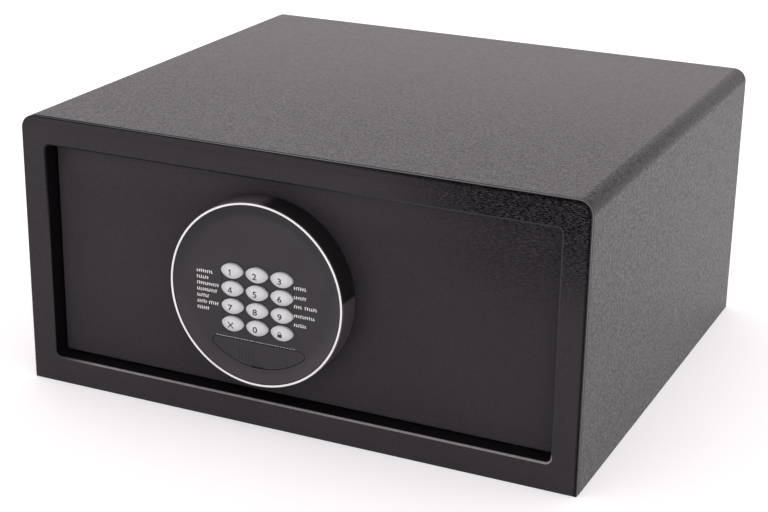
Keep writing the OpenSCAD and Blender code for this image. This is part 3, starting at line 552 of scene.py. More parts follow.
# the plate's outer side: painted shade on the top's left, a painted highlight towards its right
rimPaint = edgeLine("rimPaint", {**line, "side": 0.8, "left": 0.1, "right": 0.95})
# the plate's outer rounding: painted shade along the top
cornerPaint = edgeLine("cornerPaint", {**line, "side": 0.6, "left": 0.15, "right": 0.1})
jointPaint = jointShade("jointPaint", joint)
housingBlack = ringShade("housingBlack", {"grain": 0.35 * mm, "depth": 0.03 * mm, "light": 0.068,
                                          "dark": 0.011, "from": (4, 6), "to": (90, 81), "rough": 0.5,
                                          "spec": (0.34, 0.2), "tint": (1.1, 0.93, 1.08)})
faceBlack = bowlShade("faceBlack", {"grain": 0.4 * mm, "depth": 0.02 * mm, "base": 0.012, "spec": 0.45,
                                    "specTint": (0.97, 0.93, 1), "tint": (1.1, 0.93, 1.1), "rough": 0.36,
                                    "slope": (0.8 * padR, 0.9 * padR), "change": 0.35})
keyGrey = keyShade("keyGrey", {"grain": 0.5 * mm, "depth": 0.02 * mm, "middle": 0.73, "rim": 0.53,
                               "tint": (0.96, 1.0, 1.015), "rough": 0.42, "lift": 0.12,
                               "patchSize": 1.6 * mm})

# metals: line counts per metre along each axis, colour, roughness, depth of the lines in millimetres
metals = {"zincSteel": ((900, 900, 900), (0.60, 0.61, 0.62), 0.34, 0.01),
          "rawSteel": ((700, 700, 300), (0.12, 0.12, 0.125), 0.48, 0.02),
          "boltSteel": ((2600, 60, 60), (0.70, 0.70, 0.71), 0.24, 0.008),
          "brass": ((1500, 200, 200), (0.78, 0.58, 0.27), 0.3, 0.01),
          "lockChrome": ((1200, 1200, 1200), (0.80, 0.80, 0.81), 0.22, 0.004),
          "ringChrome": ((500, 500, 500), (0.88, 0.88, 0.88), 0.26, 0.003)}
finish = {name: satinMetal(name, {"lines": lines, "colour": colour, "rough": rough, "depth": depth * mm})
          for name, (lines, colour, rough, depth) in metals.items()}

# mouldings: grain and its depth in millimetres, colour, roughness
mouldings = {"innerPaint": (0.5, 0.05, (0.03, 0.03, 0.031), 0.55),
             "inkDark": (0.3, 0.005, (0.012, 0.012, 0.014), 0.5),
             "inkPale": (0.3, 0.005, (0.88, 0.88, 0.88), 0.5),
             "rubber": (0.6, 0.03, (0.015, 0.015, 0.015), 0.62),
             "siliconeGrey": (0.6, 0.02, (0.12, 0.12, 0.125), 0.55),
             "boardGreen": (1.0, 0.02, (0.02, 0.11, 0.04), 0.32),
             "boxBlack": (0.45, 0.05, (0.018, 0.018, 0.019), 0.48),
             "cellSleeve": (2.0, 0.02, (0.06, 0.07, 0.05), 0.3),
             "leadRed": (1.0, 0.02, (0.4, 0.03, 0.03), 0.4),
             "leadGrey": (1.0, 0.02, (0.1, 0.1, 0.1), 0.4)}
for name, (grain, depth, colour, rough) in mouldings.items():
    finish[name] = moulded(name, {"grain": grain * mm, "depth": depth * mm, "colour": colour, "rough": rough})
# the opening's lip: painted shade, far darker and duller than the coat
lipPaint = moulded("lipPaint", {"grain": 0.6 * mm, "depth": 0.03 * mm, "colour": (0.006, 0.0044, 0.006),
                                "rough": 0.6, "spec": 0.09})


def feltCloth(name):
    # needle felt: short fibres as a stretched noise laid over a coarse one
    n = Nodes(name)
    fibres = n.noise(1.0, 4.0, 0.7, n.stretch((1500, 500, 900), (0, 0, 0.6)), 0.6)
    lumps = n.noise(260.0, 3.0, 0.6)
    tone = n.ramp(n.plus(n.times(fibres, 0.7), n.times(lumps, 0.3)),
                  [(0.35, (0.012, 0.012, 0.014)), (0.65, (0.045, 0.045, 0.05))])
    return n.set(colour=tone, rough=0.92, normal=n.bump(fibres, 0.25 * mm, 0.9), sheen=0.3, sheenRough=0.5)


felt = feltCloth("felt")
bySlot = {"shell_paint": shellPaint, "door_paint": doorPaint, "housing_black": housingBlack,
          "face_black": faceBlack, "key_grey": keyGrey, "felt": felt, "rubber_black": finish["rubber"],
          "mat_grey": finish["siliconeGrey"]}
for slot in ("inner_paint", "zinc_steel", "raw_steel", "bolt_steel", "brass", "lock_chrome", "ring_chrome",
             "board_green", "box_black", "cell_sleeve", "lead_red", "lead_grey"):
    bySlot[slot] = finish[camel(slot)]
print("materials made")

# cabinet


def makeShell(s):
    # a rounded strip section, across the sheet and along the depth, carried round the U of the cabinet
    x, r = halfW, s["bend"]
    path = fillet([(-x, 0), (-x, tall), (x, tall), (x, 0)], [0, r, r, 0], s["arcSteps"], closed=False)
    ahead = np.gradient(path, axis=0)
    for k, way in ((0, (0, 1)), (-1, (0, -1))):
        ahead[k] = way
    arc = s["arcSteps"] + 1
    turn = np.linspace(math.pi, math.pi / 2, arc)
    normal = np.zeros_like(path)
    normal[0], normal[-1] = (-1, 0), (1, 0)
    normal[1:1 + arc] = np.stack([np.cos(turn), np.sin(turn)], -1)
    normal[1 + arc:1 + 2 * arc] = np.stack([-np.cos(turn[::-1]), np.sin(turn[::-1])], -1)
    strip = fillet([(0, shellLow.y), (0, shellHigh.y), (-s["sheet"], shellHigh.y), (-s["sheet"], shellLow.y)],
                   [s["edge"]] * 4, 3)
    flat = path[:, None] + normal[:, None] * strip[None, :, :1]
    points = np.stack([flat[..., 0], np.broadcast_to(strip[None, :, 1], flat.shape[:2]), flat[..., 1]], -1)
    faces = loopsToFaces(len(path), len(strip), capFirst=True, capLast=True)
    # the strip's front arc carries the joint's painted shadow, the rest the coat
    jointRow = np.isin(np.arange(len(strip)), [0, 1, 2, len(strip) - 1]).astype(int)
    mark = np.concatenate([np.tile(jointRow, len(path) - 1), [0, 0]])
    newPiece("cabinetWrap", points, faces, [shellPaint, jointPaint], "cabinet", ["cabinet_shell"],
             "shell_paint", faceMaterial=mark)


makeShell(cabinet)

front = {"plate": 3 * mm, "lip": 2 * mm, "sideBorder": 19 * mm, "lowBorder": 20 * mm, "highBorder": 20 * mm,
         "openingR": 4 * mm, "outerRound": 0.6 * mm, "bendRound": 1.2 * mm, "backRound": 0.4 * mm,
         "hiddenStep": 0.3 * mm, "footR": 0.6 * mm, "arcSteps": 10, "roundSteps": 5}
openX = halfW - front["sideBorder"]
openLow, openHigh = front["lowBorder"], tall - front["highBorder"]


def frameOuter(s, inset):
    # the plate's outline drawn in by the inset: bent corners above, nearly sharp ones below
    r = max(cabinet["bend"] - inset, 0.2 * mm)
    foot = max(s["footR"] - inset, 0.15 * mm)
    return roundRect(-halfW + inset, halfW - inset, inset, tall - inset, (foot, r, r, foot), s["arcSteps"])


def frameOpening(s, grown):
    # the opening's outline with all four corners round, grown outwards
    r = s["openingR"] + grown
    return roundRect(-openX - grown, openX + grown, openLow - grown, openHigh + grown, (r, r, r, r),
                     s["arcSteps"])


def makeFrame(s):
    # rings from the outer edge over the face and the bend, down the lip, round its end and back
    rise, fall = quarter(s["roundSteps"])
    face, back = frameLow.y, frameHigh.y
    plateBack, step = face + s["plate"], s["hiddenStep"]
    rings = [(frameOuter(s, step), plateBack), (frameOuter(s, 0), plateBack - step)]
    rings += [(frameOuter(s, s["outerRound"] * f), face + s["outerRound"] * (1 - u))
              for u, f in zip(rise, fall)]
    # each row's paint: rim, outer corner, the face's coat, the opening's bend, then the lip
    rows = [2] * 2 + [4] * s["roundSteps"]
    rings += [(frameOpening(s, s["bendRound"] * (1 - u)), face + s["bendRound"] * f)
              for u, f in zip(rise, fall)]
    rows += [0] + [1] * s["roundSteps"]
    rings += [(frameOpening(s, s["backRound"] * f), back - s["backRound"] * (1 - u))
              for u, f in zip(rise, fall)]
    rings += [(frameOpening(s, s["lip"] - s["backRound"] * f), back - s["backRound"] * (1 - u))
              for u, f in zip(rise[::-1], fall[::-1])]
    rings += [(frameOpening(s, s["lip"]), plateBack)]
    rows += [3] * (len(rings) - len(rows) - 1) + [0]
    points = slab([r[0] for r in rings], [r[1] for r in rings])
    newPiece("frontFrame", points, loopsToFaces(len(rings), len(rings[0][0]), closed=True),
             [framePaint, bendPaint, rimPaint, lipPaint, cornerPaint], "cabinet", ["front_frame"],
             "shell_paint", faceMaterial=np.repeat(rows, len(rings[0][0])))


makeFrame(front)

door = {"cornerR": 2.5 * mm, "frontRound": 0.9 * mm, "backRound": 0.4 * mm, "faceInset": 1.4 * mm}


def doorOutline(s, inset):
    r = max(s["cornerR"] - inset, 0.2 * mm)
    return roundRect(doorLow.x + inset, doorHigh.x - inset, doorLow.z + inset, doorHigh.z - inset, [r] * 4)


def makeDoor(s):
    # rings from the flat face over its rounded edge to the back's rounded edge, capped at both ends
    rise, fall = quarter(4)
    rings = [(doorOutline(s, s["faceInset"]), doorLow.y)]
    rings += [(doorOutline(s, s["frontRound"] * (1 - u)), doorLow.y + s["frontRound"] * f)
              for u, f in zip(rise, fall)]
    rings += [(doorOutline(s, s["backRound"] * f), doorHigh.y - s["backRound"] * (1 - u))
              for u, f in zip(rise, fall)]
    points = slab([r[0] for r in rings], [r[1] for r in rings])
    newPiece("doorPanel", points, loopsToFaces(len(rings), len(rings[0][0]), capFirst=True, capLast=True),
             [doorPaint], "door", ["door_plate"], "door_paint")


makeDoor(door)
print("cabinet and door made")

# keypad

pad = {"gasket": 1 * mm, "floorTop": 3.5 * mm, "rimTop": 18.8 * mm, "wall": 3.2 * mm, "edge": 0.5 * mm,
       "boreR": 2 * mm, "innerRound": 0.3 * mm, "ringIn": 63.95 * mm, "ringOut": 65.65 * mm,
       "ringTop": 20.3 * mm, "ringRound": 0.7 * mm, "ringFoot": 0.1 * mm, "panelR": 63.7 * mm,
       "flatR": 55.8 * mm, "faceTop": 16.1 * mm, "panelTop": 19.6 * mm, "panelT": 2.2 * mm,
       "skirt": 2 * mm, "skirtGap": 0.2 * mm, "turns": 192}


def makeHousing(s):
    # a cup's wall and floor as one closed profile with rounded corners, turned about the keypad's axis
    inside, small = padR - s["wall"], s["innerRound"]
    profile = fillet([(s["boreR"], s["gasket"]), (padR, s["gasket"]), (padR, s["rimTop"]),
                      (inside, s["rimTop"]), (inside, s["floorTop"]), (s["boreR"], s["floorTop"])],
                     [0, s["edge"], small, small, s["edge"], 0], 4)
    newPiece("keypadShell", revolve(profile, s["turns"]), loopsToFaces(len(profile), s["turns"], closed=True),
             [housingBlack], "door", ["keypad_housing"], "housing_black")


def makeRing(s):
    # a bar section with a rounded top, turned about the keypad's axis
    profile = fillet([(s["ringIn"], s["rimTop"]), (s["ringOut"], s["rimTop"]), (s["ringOut"], s["ringTop"]),
                      (s["ringIn"], s["ringTop"])], [s["ringFoot"]] * 2 + [s["ringRound"]] * 2, 6)
    newPiece("brightRing", revolve(profile, s["turns"]), loopsToFaces(len(profile), s["turns"], closed=True),
             [finish["ringChrome"]], "door", ["trim_ring"], "ring_chrome", sharp=80)


makeHousing(pad)
makeRing(pad)

keyNames = [f"key_{k}" for k in range(1, 10)] + ["key_clear", "key_0", "key_lock"]


def keyPlace(k):
    return np.array([(k % 3 - 1) * keys["pitchX"], keys["topRow"] - (k // 3) * keys["pitchZ"]])


def ovalLoop(s, grown=0.0):
    # two long arcs joined by two tip arcs; growing it keeps the arcs' centres
    w, h, tip = s["w"] / 2, s["h"] / 2, s["tip"]
    c = w - tip
    low = (c * c - (h - tip) ** 2) / (2 * (h - tip))
    big, turn = low + h + grown, math.atan2(c, low)
    side = np.linspace(-turn, turn, s["arcSteps"] * 2 + 1)
    end = np.linspace(math.pi / 2 - turn, turn - math.pi / 2, s["arcSteps"] + 1)[1:-1]
    top = np.stack([big * np.sin(side), big * np.cos(side) - low], -1)
    right = np.stack([c + (tip + grown) * np.cos(end), (tip + grown) * np.sin(end)], -1)
    half = np.concatenate([top, right])
    return np.concatenate([half, -half])


def onPad(points, height):
    # (x, z) from the keypad's centre and a height out of the door, as a place in the frame
    height = np.broadcast_to(height, (len(points),))
    return np.stack([padX + points[:, 0], doorFace - height, padZ + points[:, 1]], -1)


def domeHeight(s, points):
    # height of the key's sphere over its own centre line
    return pad["faceTop"] + s["proud"] - s["domeR"] + np.sqrt(s["domeR"] ** 2 - (points ** 2).sum(-1))


def makeKey(s, k, name):
    # dome rings grow from the centre, then the shoulder turns down into the wall and the hidden flange
    rise, fall = quarter(5)
    flangeTop = pad["faceTop"] - pad["panelT"] - s["seatGap"]
    rings, place = [], keyPlace(k)
    inner = ovalLoop(s, -s["shoulder"])
    for share in np.linspace(0, 1, s["rings"] + 1):
        ring = inner * share
        rings.append(onPad(place + ring, domeHeight(s, ring)))
    rim = domeHeight(s, inner)
    for u, f in zip(rise[1:], fall[1:]):
        ring = ovalLoop(s, -s["shoulder"] * (1 - u))
        rings.append(onPad(place + ring, rim - s["shoulder"] * f))
    wall, wide = ovalLoop(s), ovalLoop(s, s["flange"])
    for ring, height in ((wall, flangeTop), (wide, flangeTop), (wide, flangeTop - s["flangeT"])):
        rings.append(onPad(place + ring, height))
    count, steps = len(rings), len(inner)
    newPiece("cap_" + name.split("_")[1], np.concatenate(rings), loopsToFaces(count, steps, capLast=True),
             [keyGrey], bodyOf[name], [name], "key_grey", sharp=50)


for k, name in enumerate(keyNames):
    makeKey(keys, k, name)
print("keypad housing, ring and keys made")

well = {"r": 54.3 * mm, "top": -35.55 * mm, "endX": 36 * mm, "cornerR": 4.5 * mm, "cupOut": 1 * mm,
        "cupIn": 1.2 * mm, "coverGap": 0.25 * mm, "floorT": 1.5 * mm, "lockZ": -44.5 * mm, "lockR": 6.1 * mm,
        "topSteps": 24, "cornerSteps": 8, "lowSteps": 72, "coverEdge": 0.3 * mm, "notchHalf": 5 * mm,
        "notchIn": 2.2 * mm, "notchDeep": 1 * mm}


def wellLoop(s, grown=0.0, notch=0.0):
    # flat top, two corner arcs and the long low arc; the low arc steps inwards at the finger notch
    cx, cz = s["endX"] - s["cornerR"], s["top"] - s["cornerR"]
    r, big = s["cornerR"] + grown, s["r"] + grown
    reach, phase = math.hypot(cx, cz), math.atan2(cz, cx)
    meet = phase + math.acos((big ** 2 - reach ** 2 - r ** 2) / (2 * r * reach))
    corner = np.linspace(math.pi / 2, meet, s["cornerSteps"] + 1)
    right = np.stack([cx + r * np.cos(corner), cz + r * np.sin(corner)], -1)
    a0 = math.atan2(right[-1, 1], right[-1, 0])
    low = np.linspace(a0, -math.pi - a0, s["lowSteps"] + 1)[1:-1]
    dent = notch * (np.abs(big * np.cos(low)) < s["notchHalf"])
    arc = np.stack([(big - dent) * np.cos(low), (big - dent) * np.sin(low)], -1)
    top = np.linspace(-cx, cx, s["topSteps"] + 1)[1:-1]
    flat = np.stack([top, np.full(len(top), cz + r)], -1)
    return np.concatenate([flat, right, arc, right[::-1] * (-1, 1)])


def filledLoops(outer, holes, inner=None):
    # triangles between an outer loop and its holes, through the inner points too where given; the loops'
    # points come first in the result, in the order outer first, then each hole
    loops = [outer, *holes]
    points = np.concatenate(loops if inner is None else [*loops, inner])
    starts = np.cumsum([0] + [len(loop) for loop in loops])
    edges = [(a + k, a + (k + 1) % (b - a)) for a, b in zip(starts[:-1], starts[1:]) for k in range(b - a)]
    made = geometry.delaunay_2d_cdt([Vector(p) for p in points.tolist()], edges, [], 1, 1e-7)
    corners, triangles = np.array([v[:] for v in made[0]]), np.array([list(f) for f in made[2]])
    middle = corners[triangles].mean(1)
    keep = insideLoop(middle, outer)
    for hole in holes:
        keep &= ~insideLoop(middle, hole)
    return corners, triangles[keep], edges


def filledPlate(outer, holes, height):
    corners, triangles, _ = filledLoops(outer, holes)
    return onPad(corners, height), triangles


def insideLoop(points, loop):
    # even-odd crossing count of a ray to the right, for all points at once
    a, b = loop, np.roll(loop, -1, 0)
    x, z = points[:, 0][:, None], points[:, 1][:, None]
    spans = (a[:, 1] > z) != (b[:, 1] > z)
    with np.errstate(divide="ignore", invalid="ignore"):
        cross = a[:, 0] + (z - a[:, 1]) / (b[:, 1] - a[:, 1]) * (b[:, 0] - a[:, 0])
    return ((spans & (x < cross)).sum(1) % 2) == 1


def wallBetween(loop, high, low):
    # the wall along a closed loop between two heights
    return np.concatenate([onPad(loop, high), onPad(loop, low)]), gridFaces(2, len(loop))


def circle(r, steps):
    a = np.linspace(0, tau, steps, endpoint=False)
    return r * np.stack([np.cos(a), np.sin(a)], -1)


def makeFace(s, w):
    # flat plate with the openings of the keys and the well, and the sloped band turned round it
    holes = [keyPlace(k) + ovalLoop(keys, keys["clear"]) for k in range(12)] + [wellLoop(w)]
    disc, under = circle(s["flatR"], s["turns"]), s["faceTop"] - s["panelT"]
    parts = [filledPlate(disc, holes, s["faceTop"]), filledPlate(disc, holes, under)]
    parts += [wallBetween(loop, s["faceTop"], under) for loop in holes]
    outside = padR - s["wall"] - s["skirtGap"]
    profile = fillet([(s["flatR"], s["faceTop"]), (s["panelR"], s["panelTop"]), (s["panelR"], s["rimTop"]),
                      (outside, s["rimTop"]), (outside, s["rimTop"] - s["skirt"]), (s["flatR"], under)],
                     [0, 0.2 * mm, 0, 0, 0, 0], 3, closed=False)
    parts.append((revolve(profile, s["turns"]), loopsToFaces(len(profile), s["turns"])))
    piece = newPiece("dishedFace", *joined(parts), [faceBlack], "door", ["face_panel"], "face_black",
                     weighted=False)
    soften(piece, 0.25 * mm, 2, 45)


def makeCup(s, w):
    # cup under the well: floor pierced for the lock barrel, rim, then the outer, inner and bore walls
    rim, floorTop, under = s["faceTop"] - s["panelT"], s["floorTop"] + w["floorT"], s["floorTop"]
    bore = circle(w["lockR"], 48) + (0, w["lockZ"])
    outer, inner = wellLoop(w, w["cupOut"]), wellLoop(w, -w["cupIn"])
    parts = [filledPlate(inner, [bore], floorTop), filledPlate(outer, [bore], under),
             filledPlate(outer, [inner], rim), wallBetween(outer, rim, under),
             wallBetween(inner, rim, floorTop), wallBetween(bore, floorTop, under)]
    piece = newPiece("lockCup", *joined(parts), [faceBlack], "door", ["lock_well"], "face_black",
                     weighted=False)
    soften(piece, 0.2 * mm, 2, 45)


def soften(piece, width, segments=2, angle=30):
    # a bevel of that width on every edge sharper than the angle
    bevel = piece.modifiers.new("softEdges", "BEVEL")
    bevel.width, bevel.segments, bevel.limit_method = width, segments, "ANGLE"
    bevel.angle_limit = math.radians(angle)
    bevel.use_clamp_overlap = True
    normals = piece.modifiers.new("weightedNormals", "WEIGHTED_NORMAL")
    normals.keep_sharp = False


makeFace(pad, well)
makeCup(pad, well)


def makeCover(s):
    # lens-shaped cap: rounded top edge, then a step where the finger notch stops half way down
    rise, fall = quarter(3)
    top, edge, gap = pad["faceTop"], s["coverEdge"], s["coverGap"]
    rings = [(-gap - edge * (1 - u), s["notchIn"], top - edge * f) for u, f in zip(rise, fall)]
    rings += [(-gap, s["notchIn"], top - s["notchDeep"]), (-gap, 0, top - s["notchDeep"]),
              (-gap, 0, top - pad["panelT"])]
    loops = [onPad(wellLoop(s, grown, notch), height) for grown, notch, height in rings]
    faces = loopsToFaces(len(loops), len(loops[0]), capFirst=True, capLast=True)
    newPiece("lensCap", np.concatenate(loops), faces, [faceBlack], "override_cap", ["lock_cover"],
             "face_black")


makeCover(well)

ribs = {"from": -15 * mm, "to": -3.5 * mm, "count": 6, "low": -50.5 * mm, "high": -41 * mm,
        "wide": 0.7 * mm, "proud": 0.25 * mm, "sink": 0.1 * mm, "endR": 0.3 * mm, "inset": 0.2 * mm}


def makeRibs(s):
    # low round-ended ribs on the cap beside the finger notch: three rings each, the last one drawn in
    parts, top, inset = [], pad["faceTop"], s["inset"]
    for x in np.linspace(s["from"], s["to"], s["count"]):
        x0, x1 = x - s["wide"] / 2, x + s["wide"] / 2
        loop = roundRect(x0, x1, s["low"], s["high"], [s["endR"]] * 4, 4)
        inner = roundRect(x0 + inset, x1 - inset, s["low"] + inset, s["high"] - inset,
                          [s["endR"] - inset] * 4, 4)
        rings = [onPad(loop, top - s["sink"]), onPad(loop, top + s["proud"] * 0.5),
                 onPad(inner, top + s["proud"])]
        parts.append((np.concatenate(rings), loopsToFaces(3, len(loop), capFirst=True, capLast=True)))
    newPiece("capRibs", *joined(parts), [faceBlack], "override_cap", (), "face_black", weighted=False)


makeRibs(ribs)
print("face, well and cap made")

# printing: digits, two icons and plain dashes

ink = {"digitTall": 4.4 * mm, "wider": 1.22, "bolder": 0.016, "left": 0.9 * mm, "down": 0.75 * mm,
       "thick": 0.03 * mm, "sink": 0.01 * mm, "longest": 0.5 * mm}
# signs drawn from straight strokes in millimetres: from x, z to x, z, and the width; the lock's body and
# the legs of its bow come the same way
drawnSigns = {"clear": [(-2.1, -2.1, 2.1, 2.1, 0.75), (-2.1, 2.1, 2.1, -2.1, 0.75)],
              "1": [(0.3, -2.2, 0.3, 2.2, 0.8), (-0.9, 1.0, 0.25, 1.9, 0.6)],
              "4": [(0.7, -2.2, 0.7, 2.2, 0.75), (-1.75, -0.95, 1.65, -0.95, 0.65),
                    (-1.5, -0.85, 0.5, 2.0, 0.7)]}
lockIcon = {"body": [(-1.7, -0.9, 1.7, -0.9, 2.4)], "legs": [(x, 0.25, x, 0.72, 0.5) for x in (-1.1, 1.1)],
            "bowZ": 0.7 * mm, "bowR": 1.1 * mm, "bowWide": 0.5 * mm, "bowSteps": 14}


def glyphMesh(text, tall):
    # a filled font outline with its centre at the origin, cut fine enough to follow the dome
    curve = bpy.data.curves.new("glyph", "FONT")
    curve.body, curve.align_x, curve.align_y = text, "CENTER", "CENTER"
    curve.size, curve.offset = 1.0, ink["bolder"]
    holder = bpy.data.objects.new("glyph", curve)
    bpy.context.scene.collection.objects.link(holder)
    bpy.context.view_layer.update()
    mesh = bpy.data.meshes.new_from_object(holder)
    bpy.data.objects.remove(holder)
    bpy.data.curves.remove(curve)
    points = np.zeros(len(mesh.vertices) * 3)
    mesh.vertices.foreach_get("co", points)
    points = points.reshape(-1, 3)[:, :2]
    low, high = points.min(0), points.max(0)
    points = (points - (low + high) / 2) * (tall / (high[1] - low[1])) * (ink["wider"], 1)
    faces = [list(f.vertices) for f in mesh.polygons]
    bpy.data.meshes.remove(mesh)
    return points, faces


def strokes(lines):
    # a flat quad round each line
    points = []
    for line in np.array(lines) * mm:
        a, b, width = line[:2], line[2:4], line[4]
        side = np.array([-(b - a)[1], (b - a)[0]]) / np.linalg.norm(b - a) * width / 2
        points += [a - side, b - side, b + side, a + side]
    return np.array(points), [[k, k + 1, k + 2, k + 3] for k in range(0, len(points), 4)]


def bow(s):
    # half a ring, open downwards: the lock's bow
    a = np.linspace(0, math.pi, s["bowSteps"] + 1)
    arc, half = np.stack([np.cos(a), np.sin(a)], -1), s["bowWide"] / 2
    ring = [(s["bowR"] + k) * arc + (0, s["bowZ"]) for k in (-half, half)]
    return np.concatenate(ring), gridFaces(2, s["bowSteps"] + 1, wrapCols=False)


def printOn(s, name, points, faces, k):
    # a flat sign thickened, cut fine, and laid on the key's dome: its height is the dome's there
    work = bmesh.new()
    verts = [work.verts.new((x, 0, z)) for x, z in points - (s["left"], s["down"])]
    for face in faces:
        work.faces.new([verts[i] for i in face])
    bmesh.ops.remove_doubles(work, verts=work.verts, dist=1e-6)
    bmesh.ops.triangulate(work, faces=work.faces)
    for _ in range(5):
        longer = [e for e in work.edges if e.calc_length() > s["longest"]]
        if not longer:
            break
        bmesh.ops.subdivide_edges(work, edges=longer, cuts=1)
        bmesh.ops.triangulate(work, faces=work.faces)
    extruded = bmesh.ops.extrude_face_region(work, geom=work.faces[:])
    for v in extruded["geom"]:
        if isinstance(v, bmesh.types.BMVert):
            v.co.y = 1
    bmesh.ops.recalc_face_normals(work, faces=work.faces)
    mesh = bpy.data.meshes.new(name)
    work.to_mesh(mesh)
    work.free()
    co = np.zeros(len(mesh.vertices) * 3)
    mesh.vertices.foreach_get("co", co)
    co = co.reshape(-1, 3)
    flat = co[:, [0, 2]]
    height = domeHeight(keys, flat) + np.where(co[:, 1] > 0.5, -s["sink"], s["thick"])
    mesh.vertices.foreach_set("co", onPad(keyPlace(k) + flat, height).ravel())
    mesh.materials.append(finish["inkDark"])
    placePiece(name, mesh, bodyOf[keyNames[k]], (), weighted=False)


def makePrints(s):
    for k, name in enumerate(keyNames):
        sign = name.split("_")[1]
        if sign in drawnSigns:
            shape = strokes(drawnSigns[sign])
        elif sign == "lock":
            shape = joined([strokes(lockIcon["body"]), bow(lockIcon), strokes(lockIcon["legs"])])
        else:
            shape = glyphMesh(sign, s["digitTall"])
        printOn(s, "print_" + sign, *shape, k)


makePrints(ink)

rows = {"leftX": -46.9 * mm, "leftTop": 11.4 * mm, "leftPitch": 4.47 * mm,
        "leftWords": [(13,), (11,), (18,), (17,), (10,), (8, 9), (10,)],
        "rightX": 27.9 * mm, "rightTop": 11.1 * mm, "rightPitch": 6.6 * mm,
        "rightWords": [(11,), (11,), (7, 10), (17,), (10,)], "tall": 2.5 * mm, "cell": 1.6 * mm,
        "stroke": 0.6 * mm, "thick": 0.05 * mm, "sink": 0.02 * mm, "endR": 0.2 * mm, "lift": 0.5 * mm,
        "gap": 1.1 * mm, "lineFrom": -32.5 * mm, "lineTo": 29 * mm, "lineGap": 0.75 * mm,
        "lineTall": 0.25 * mm, "dashes": 26}


def dashPlate(s, x0, x1, z0, z1):
    # a round-ended plate lying on the face: outline ring, top ring, both capped
    loop = roundRect(x0, x1, z0, z1, [min(s["endR"], (z1 - z0) * 0.45)] * 4, 4)
    low, high = onPad(loop, pad["faceTop"] - s["sink"]), onPad(loop, pad["faceTop"] + s["thick"])
    return np.concatenate([low, high]), loopsToFaces(2, len(loop), capFirst=True, capLast=True)


def makeRows(s):
    # blocks of plain marks: in every cell an upright dash and a short level one, placed at random; then the
    # dashed line over the well
    spans, pick = [], np.random.default_rng(4)
    w = s["stroke"]
    for side in ("left", "right"):
        for line, lengths in enumerate(s[side + "Words"]):
            x, top = s[side + "X"], s[side + "Top"] - line * s[side + "Pitch"]
            for length in lengths:
                for k in range(max(1, int(length * mm / s["cell"]))):
                    here = x + k * s["cell"]
                    lift = pick.uniform(0, 1) * s["lift"]
                    spans.append((here, here + w, top - s["tall"], top - lift))
                    level = top - s["tall"] * pick.choice([0.3, 0.55, 0.95])
                    spans.append((here + w * 0.9, here + w * 1.9, level, level + w * 0.9))
                x += length * mm + s["gap"]
    step, z = (s["lineTo"] - s["lineFrom"]) / s["dashes"], well["top"] + s["lineGap"]
    for k in range(s["dashes"]):
        x = s["lineFrom"] + k * step
        spans.append((x, x + step * pick.uniform(0.45, 0.8), z - s["lineTall"] / 2, z + s["lineTall"] / 2))
    newPiece("plainRows", *joined([dashPlate(s, *span) for span in spans]), [finish["inkPale"]], "door", (),
             "key_grey", weighted=False)


makeRows(rows)
print("printing made")

# inner pieces: merged copies of the nodes, each with the width of its softened edges in millimetres

softEdges = {"base_plate": 0.3, "back_panel": 0.3, "bolt_keeper": 0.4, "door_stops": 0.5,
             "pivot_bushes": 0.4, "thrust_washer": 0.1, "hinge_blocks": 0.6,
             "upper_hinge_pin": 0.3, "lower_hinge_pin": 0.3, "inner_cover": 0.9, "cover_screws": 0.35,
             "lock_barrel": 0.25, "lock_plug": 0.1, "lock_cam": 0.3, "cam_screw": 0.25, "lock_nut": 0.3,
             "bolt_carriage": 0.2, "upper_bolt": 0.25, "lower_bolt": 0.25, "bolt_clips": 0.15,
             "bolt_guides": 0.5, "battery_box": 0.3, "battery_cover": 0.4, "gear_motor": 0.5,
             "motor_bracket": 0.3}


def mergedCopy(node, width):
    # a copy of the node's triangles, merged into flat faces, with its edges softened to the width
    mesh = nodes[node].data.copy()
    mesh.materials.clear()
    work = bmesh.new()
    work.from_mesh(mesh)
    bmesh.ops.remove_doubles(work, verts=work.verts, dist=2e-6)
    bmesh.ops.dissolve_limit(work, angle_limit=math.radians(0.5), verts=work.verts, edges=work.edges)
    work.to_mesh(mesh)
    work.free()
    mesh.materials.append(bySlot[slotOf[node]])
    if "custom_normal" in mesh.attributes:
        mesh.attributes.remove(mesh.attributes["custom_normal"])
    piece = placePiece(camel(node), mesh, bodyOf[node], [node], weighted=False, sharp=30)
    soften(piece, width * mm, 2, 30)


for node, width in softEdges.items():
    mergedCopy(node, width)


mat = {"cornerR": 2 * mm, "holeX": 130 * mm, "holeY": 100 * mm, "holeR": 7 * mm, "holeSteps": 32,
       "clearR": 8.5 * mm, "pointsX": 70, "pointsY": 58, "wave": 0.15 * mm, "perX": 90, "perY": 75}


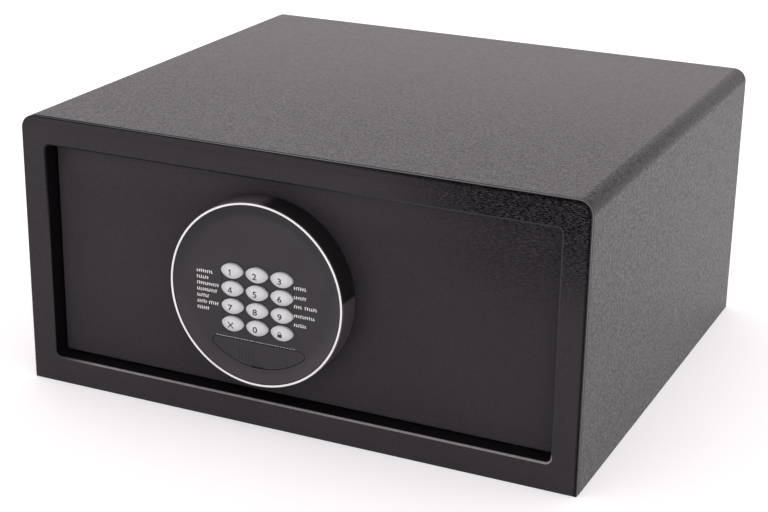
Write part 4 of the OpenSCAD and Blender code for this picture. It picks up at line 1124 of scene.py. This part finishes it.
def makeMat(s):
    # needle felt laid on the floor: a fine grid inside the outline and round the anchor holes; the top's
    # height is the sine of x times the cosine of y, times the wave's height
    low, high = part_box("floor_mat")
    holes = [(x, y) for x in (-s["holeX"], s["holeX"]) for y in (-s["holeY"], s["holeY"])]
    outer = roundRect(low.x, high.x, low.y, high.y, [s["cornerR"]] * 4, 4)
    x, y = np.meshgrid(np.linspace(low.x, high.x, s["pointsX"])[1:-1],
                       np.linspace(low.y, high.y, s["pointsY"])[1:-1])
    inner = np.stack([x.ravel(), y.ravel()], -1)
    away = np.min([np.hypot(*(inner - hole).T) for hole in holes], 0)
    rings = [circle(s["holeR"], s["holeSteps"]) + hole for hole in holes]
    corners, cells, edges = filledLoops(outer, rings, inner[away > s["clearR"]])
    wave = np.sin(corners[:, 0] * s["perX"]) * np.cos(corners[:, 1] * s["perY"] + 1) * s["wave"]
    top = np.column_stack([corners, high.z - s["wave"] + wave])
    bottom = np.column_stack([corners, np.full(len(corners), low.z)])
    count = len(corners)
    faces = cells.tolist() + (cells[:, ::-1] + count).tolist()
    faces += [[a, b, b + count, a + count] for a, b in edges]
    piece = newPiece("feltMat", np.concatenate([top, bottom]), faces, [felt], "cabinet", ["floor_mat"],
                     "felt", weighted=False)


makeMat(mat)

for name, node in nodes.items():
    if not node.hide_render:
        node.data.materials.clear()
        node.data.materials.append(bySlot[slotOf[name]])
print("inner pieces made")

# studio


studio = {"floorHalf": 12.0, "floorGrey": (0.9, 0.9, 0.9), "floorRough": 0.9, "glow": 0.32,
          "light": (1.05, 0.98, 0.995, 1)}


def makeStudio(s):
    # white floor that keeps the shadow, and a white world; both look white to camera and glossy rays
    n = Nodes("floorWhite")
    path = n.add("ShaderNodeLightPath")
    n.set(colour=s["floorGrey"], rough=s["floorRough"])
    glow = n.plus(path.outputs["Is Camera Ray"], path.outputs["Is Glossy Ray"])
    seen = n.plus(glow, path.outputs["Is Transmission Ray"], clamp=True)
    n.tree.links.new(n.times(seen, s["glow"]), n.shader.inputs["Emission Strength"])
    n.shader.inputs["Emission Color"].default_value = (1, 1, 1, 1)
    mesh = bpy.data.meshes.new("floor")
    size = s["floorHalf"]
    mesh.from_pydata([(-size, -size, 0), (size, -size, 0), (size, size, 0), (-size, size, 0)], [],
                     [(0, 1, 2, 3)])
    mesh.materials.append(n.material)
    floor = bpy.data.objects.new("floor", mesh)
    bpy.context.scene.collection.objects.link(floor)
    world = bpy.data.worlds.new("studio")
    bpy.context.scene.world = world
    world.use_nodes = True
    tree = world.node_tree
    background = tree.nodes["Background"]
    background.inputs["Strength"].default_value = 1.0
    # white to the camera, a slightly warm white to the object
    view = tree.nodes.new("ShaderNodeLightPath")
    mix = tree.nodes.new("ShaderNodeMix")
    mix.data_type = "RGBA"
    mix.inputs[6].default_value = s["light"]
    mix.inputs[7].default_value = (1, 1, 1, 1)
    tree.links.new(view.outputs["Is Camera Ray"], mix.inputs[0])
    tree.links.new(mix.outputs[2], background.inputs["Color"])


makeStudio(studio)
bpy.context.scene.view_settings.view_transform = "Standard"
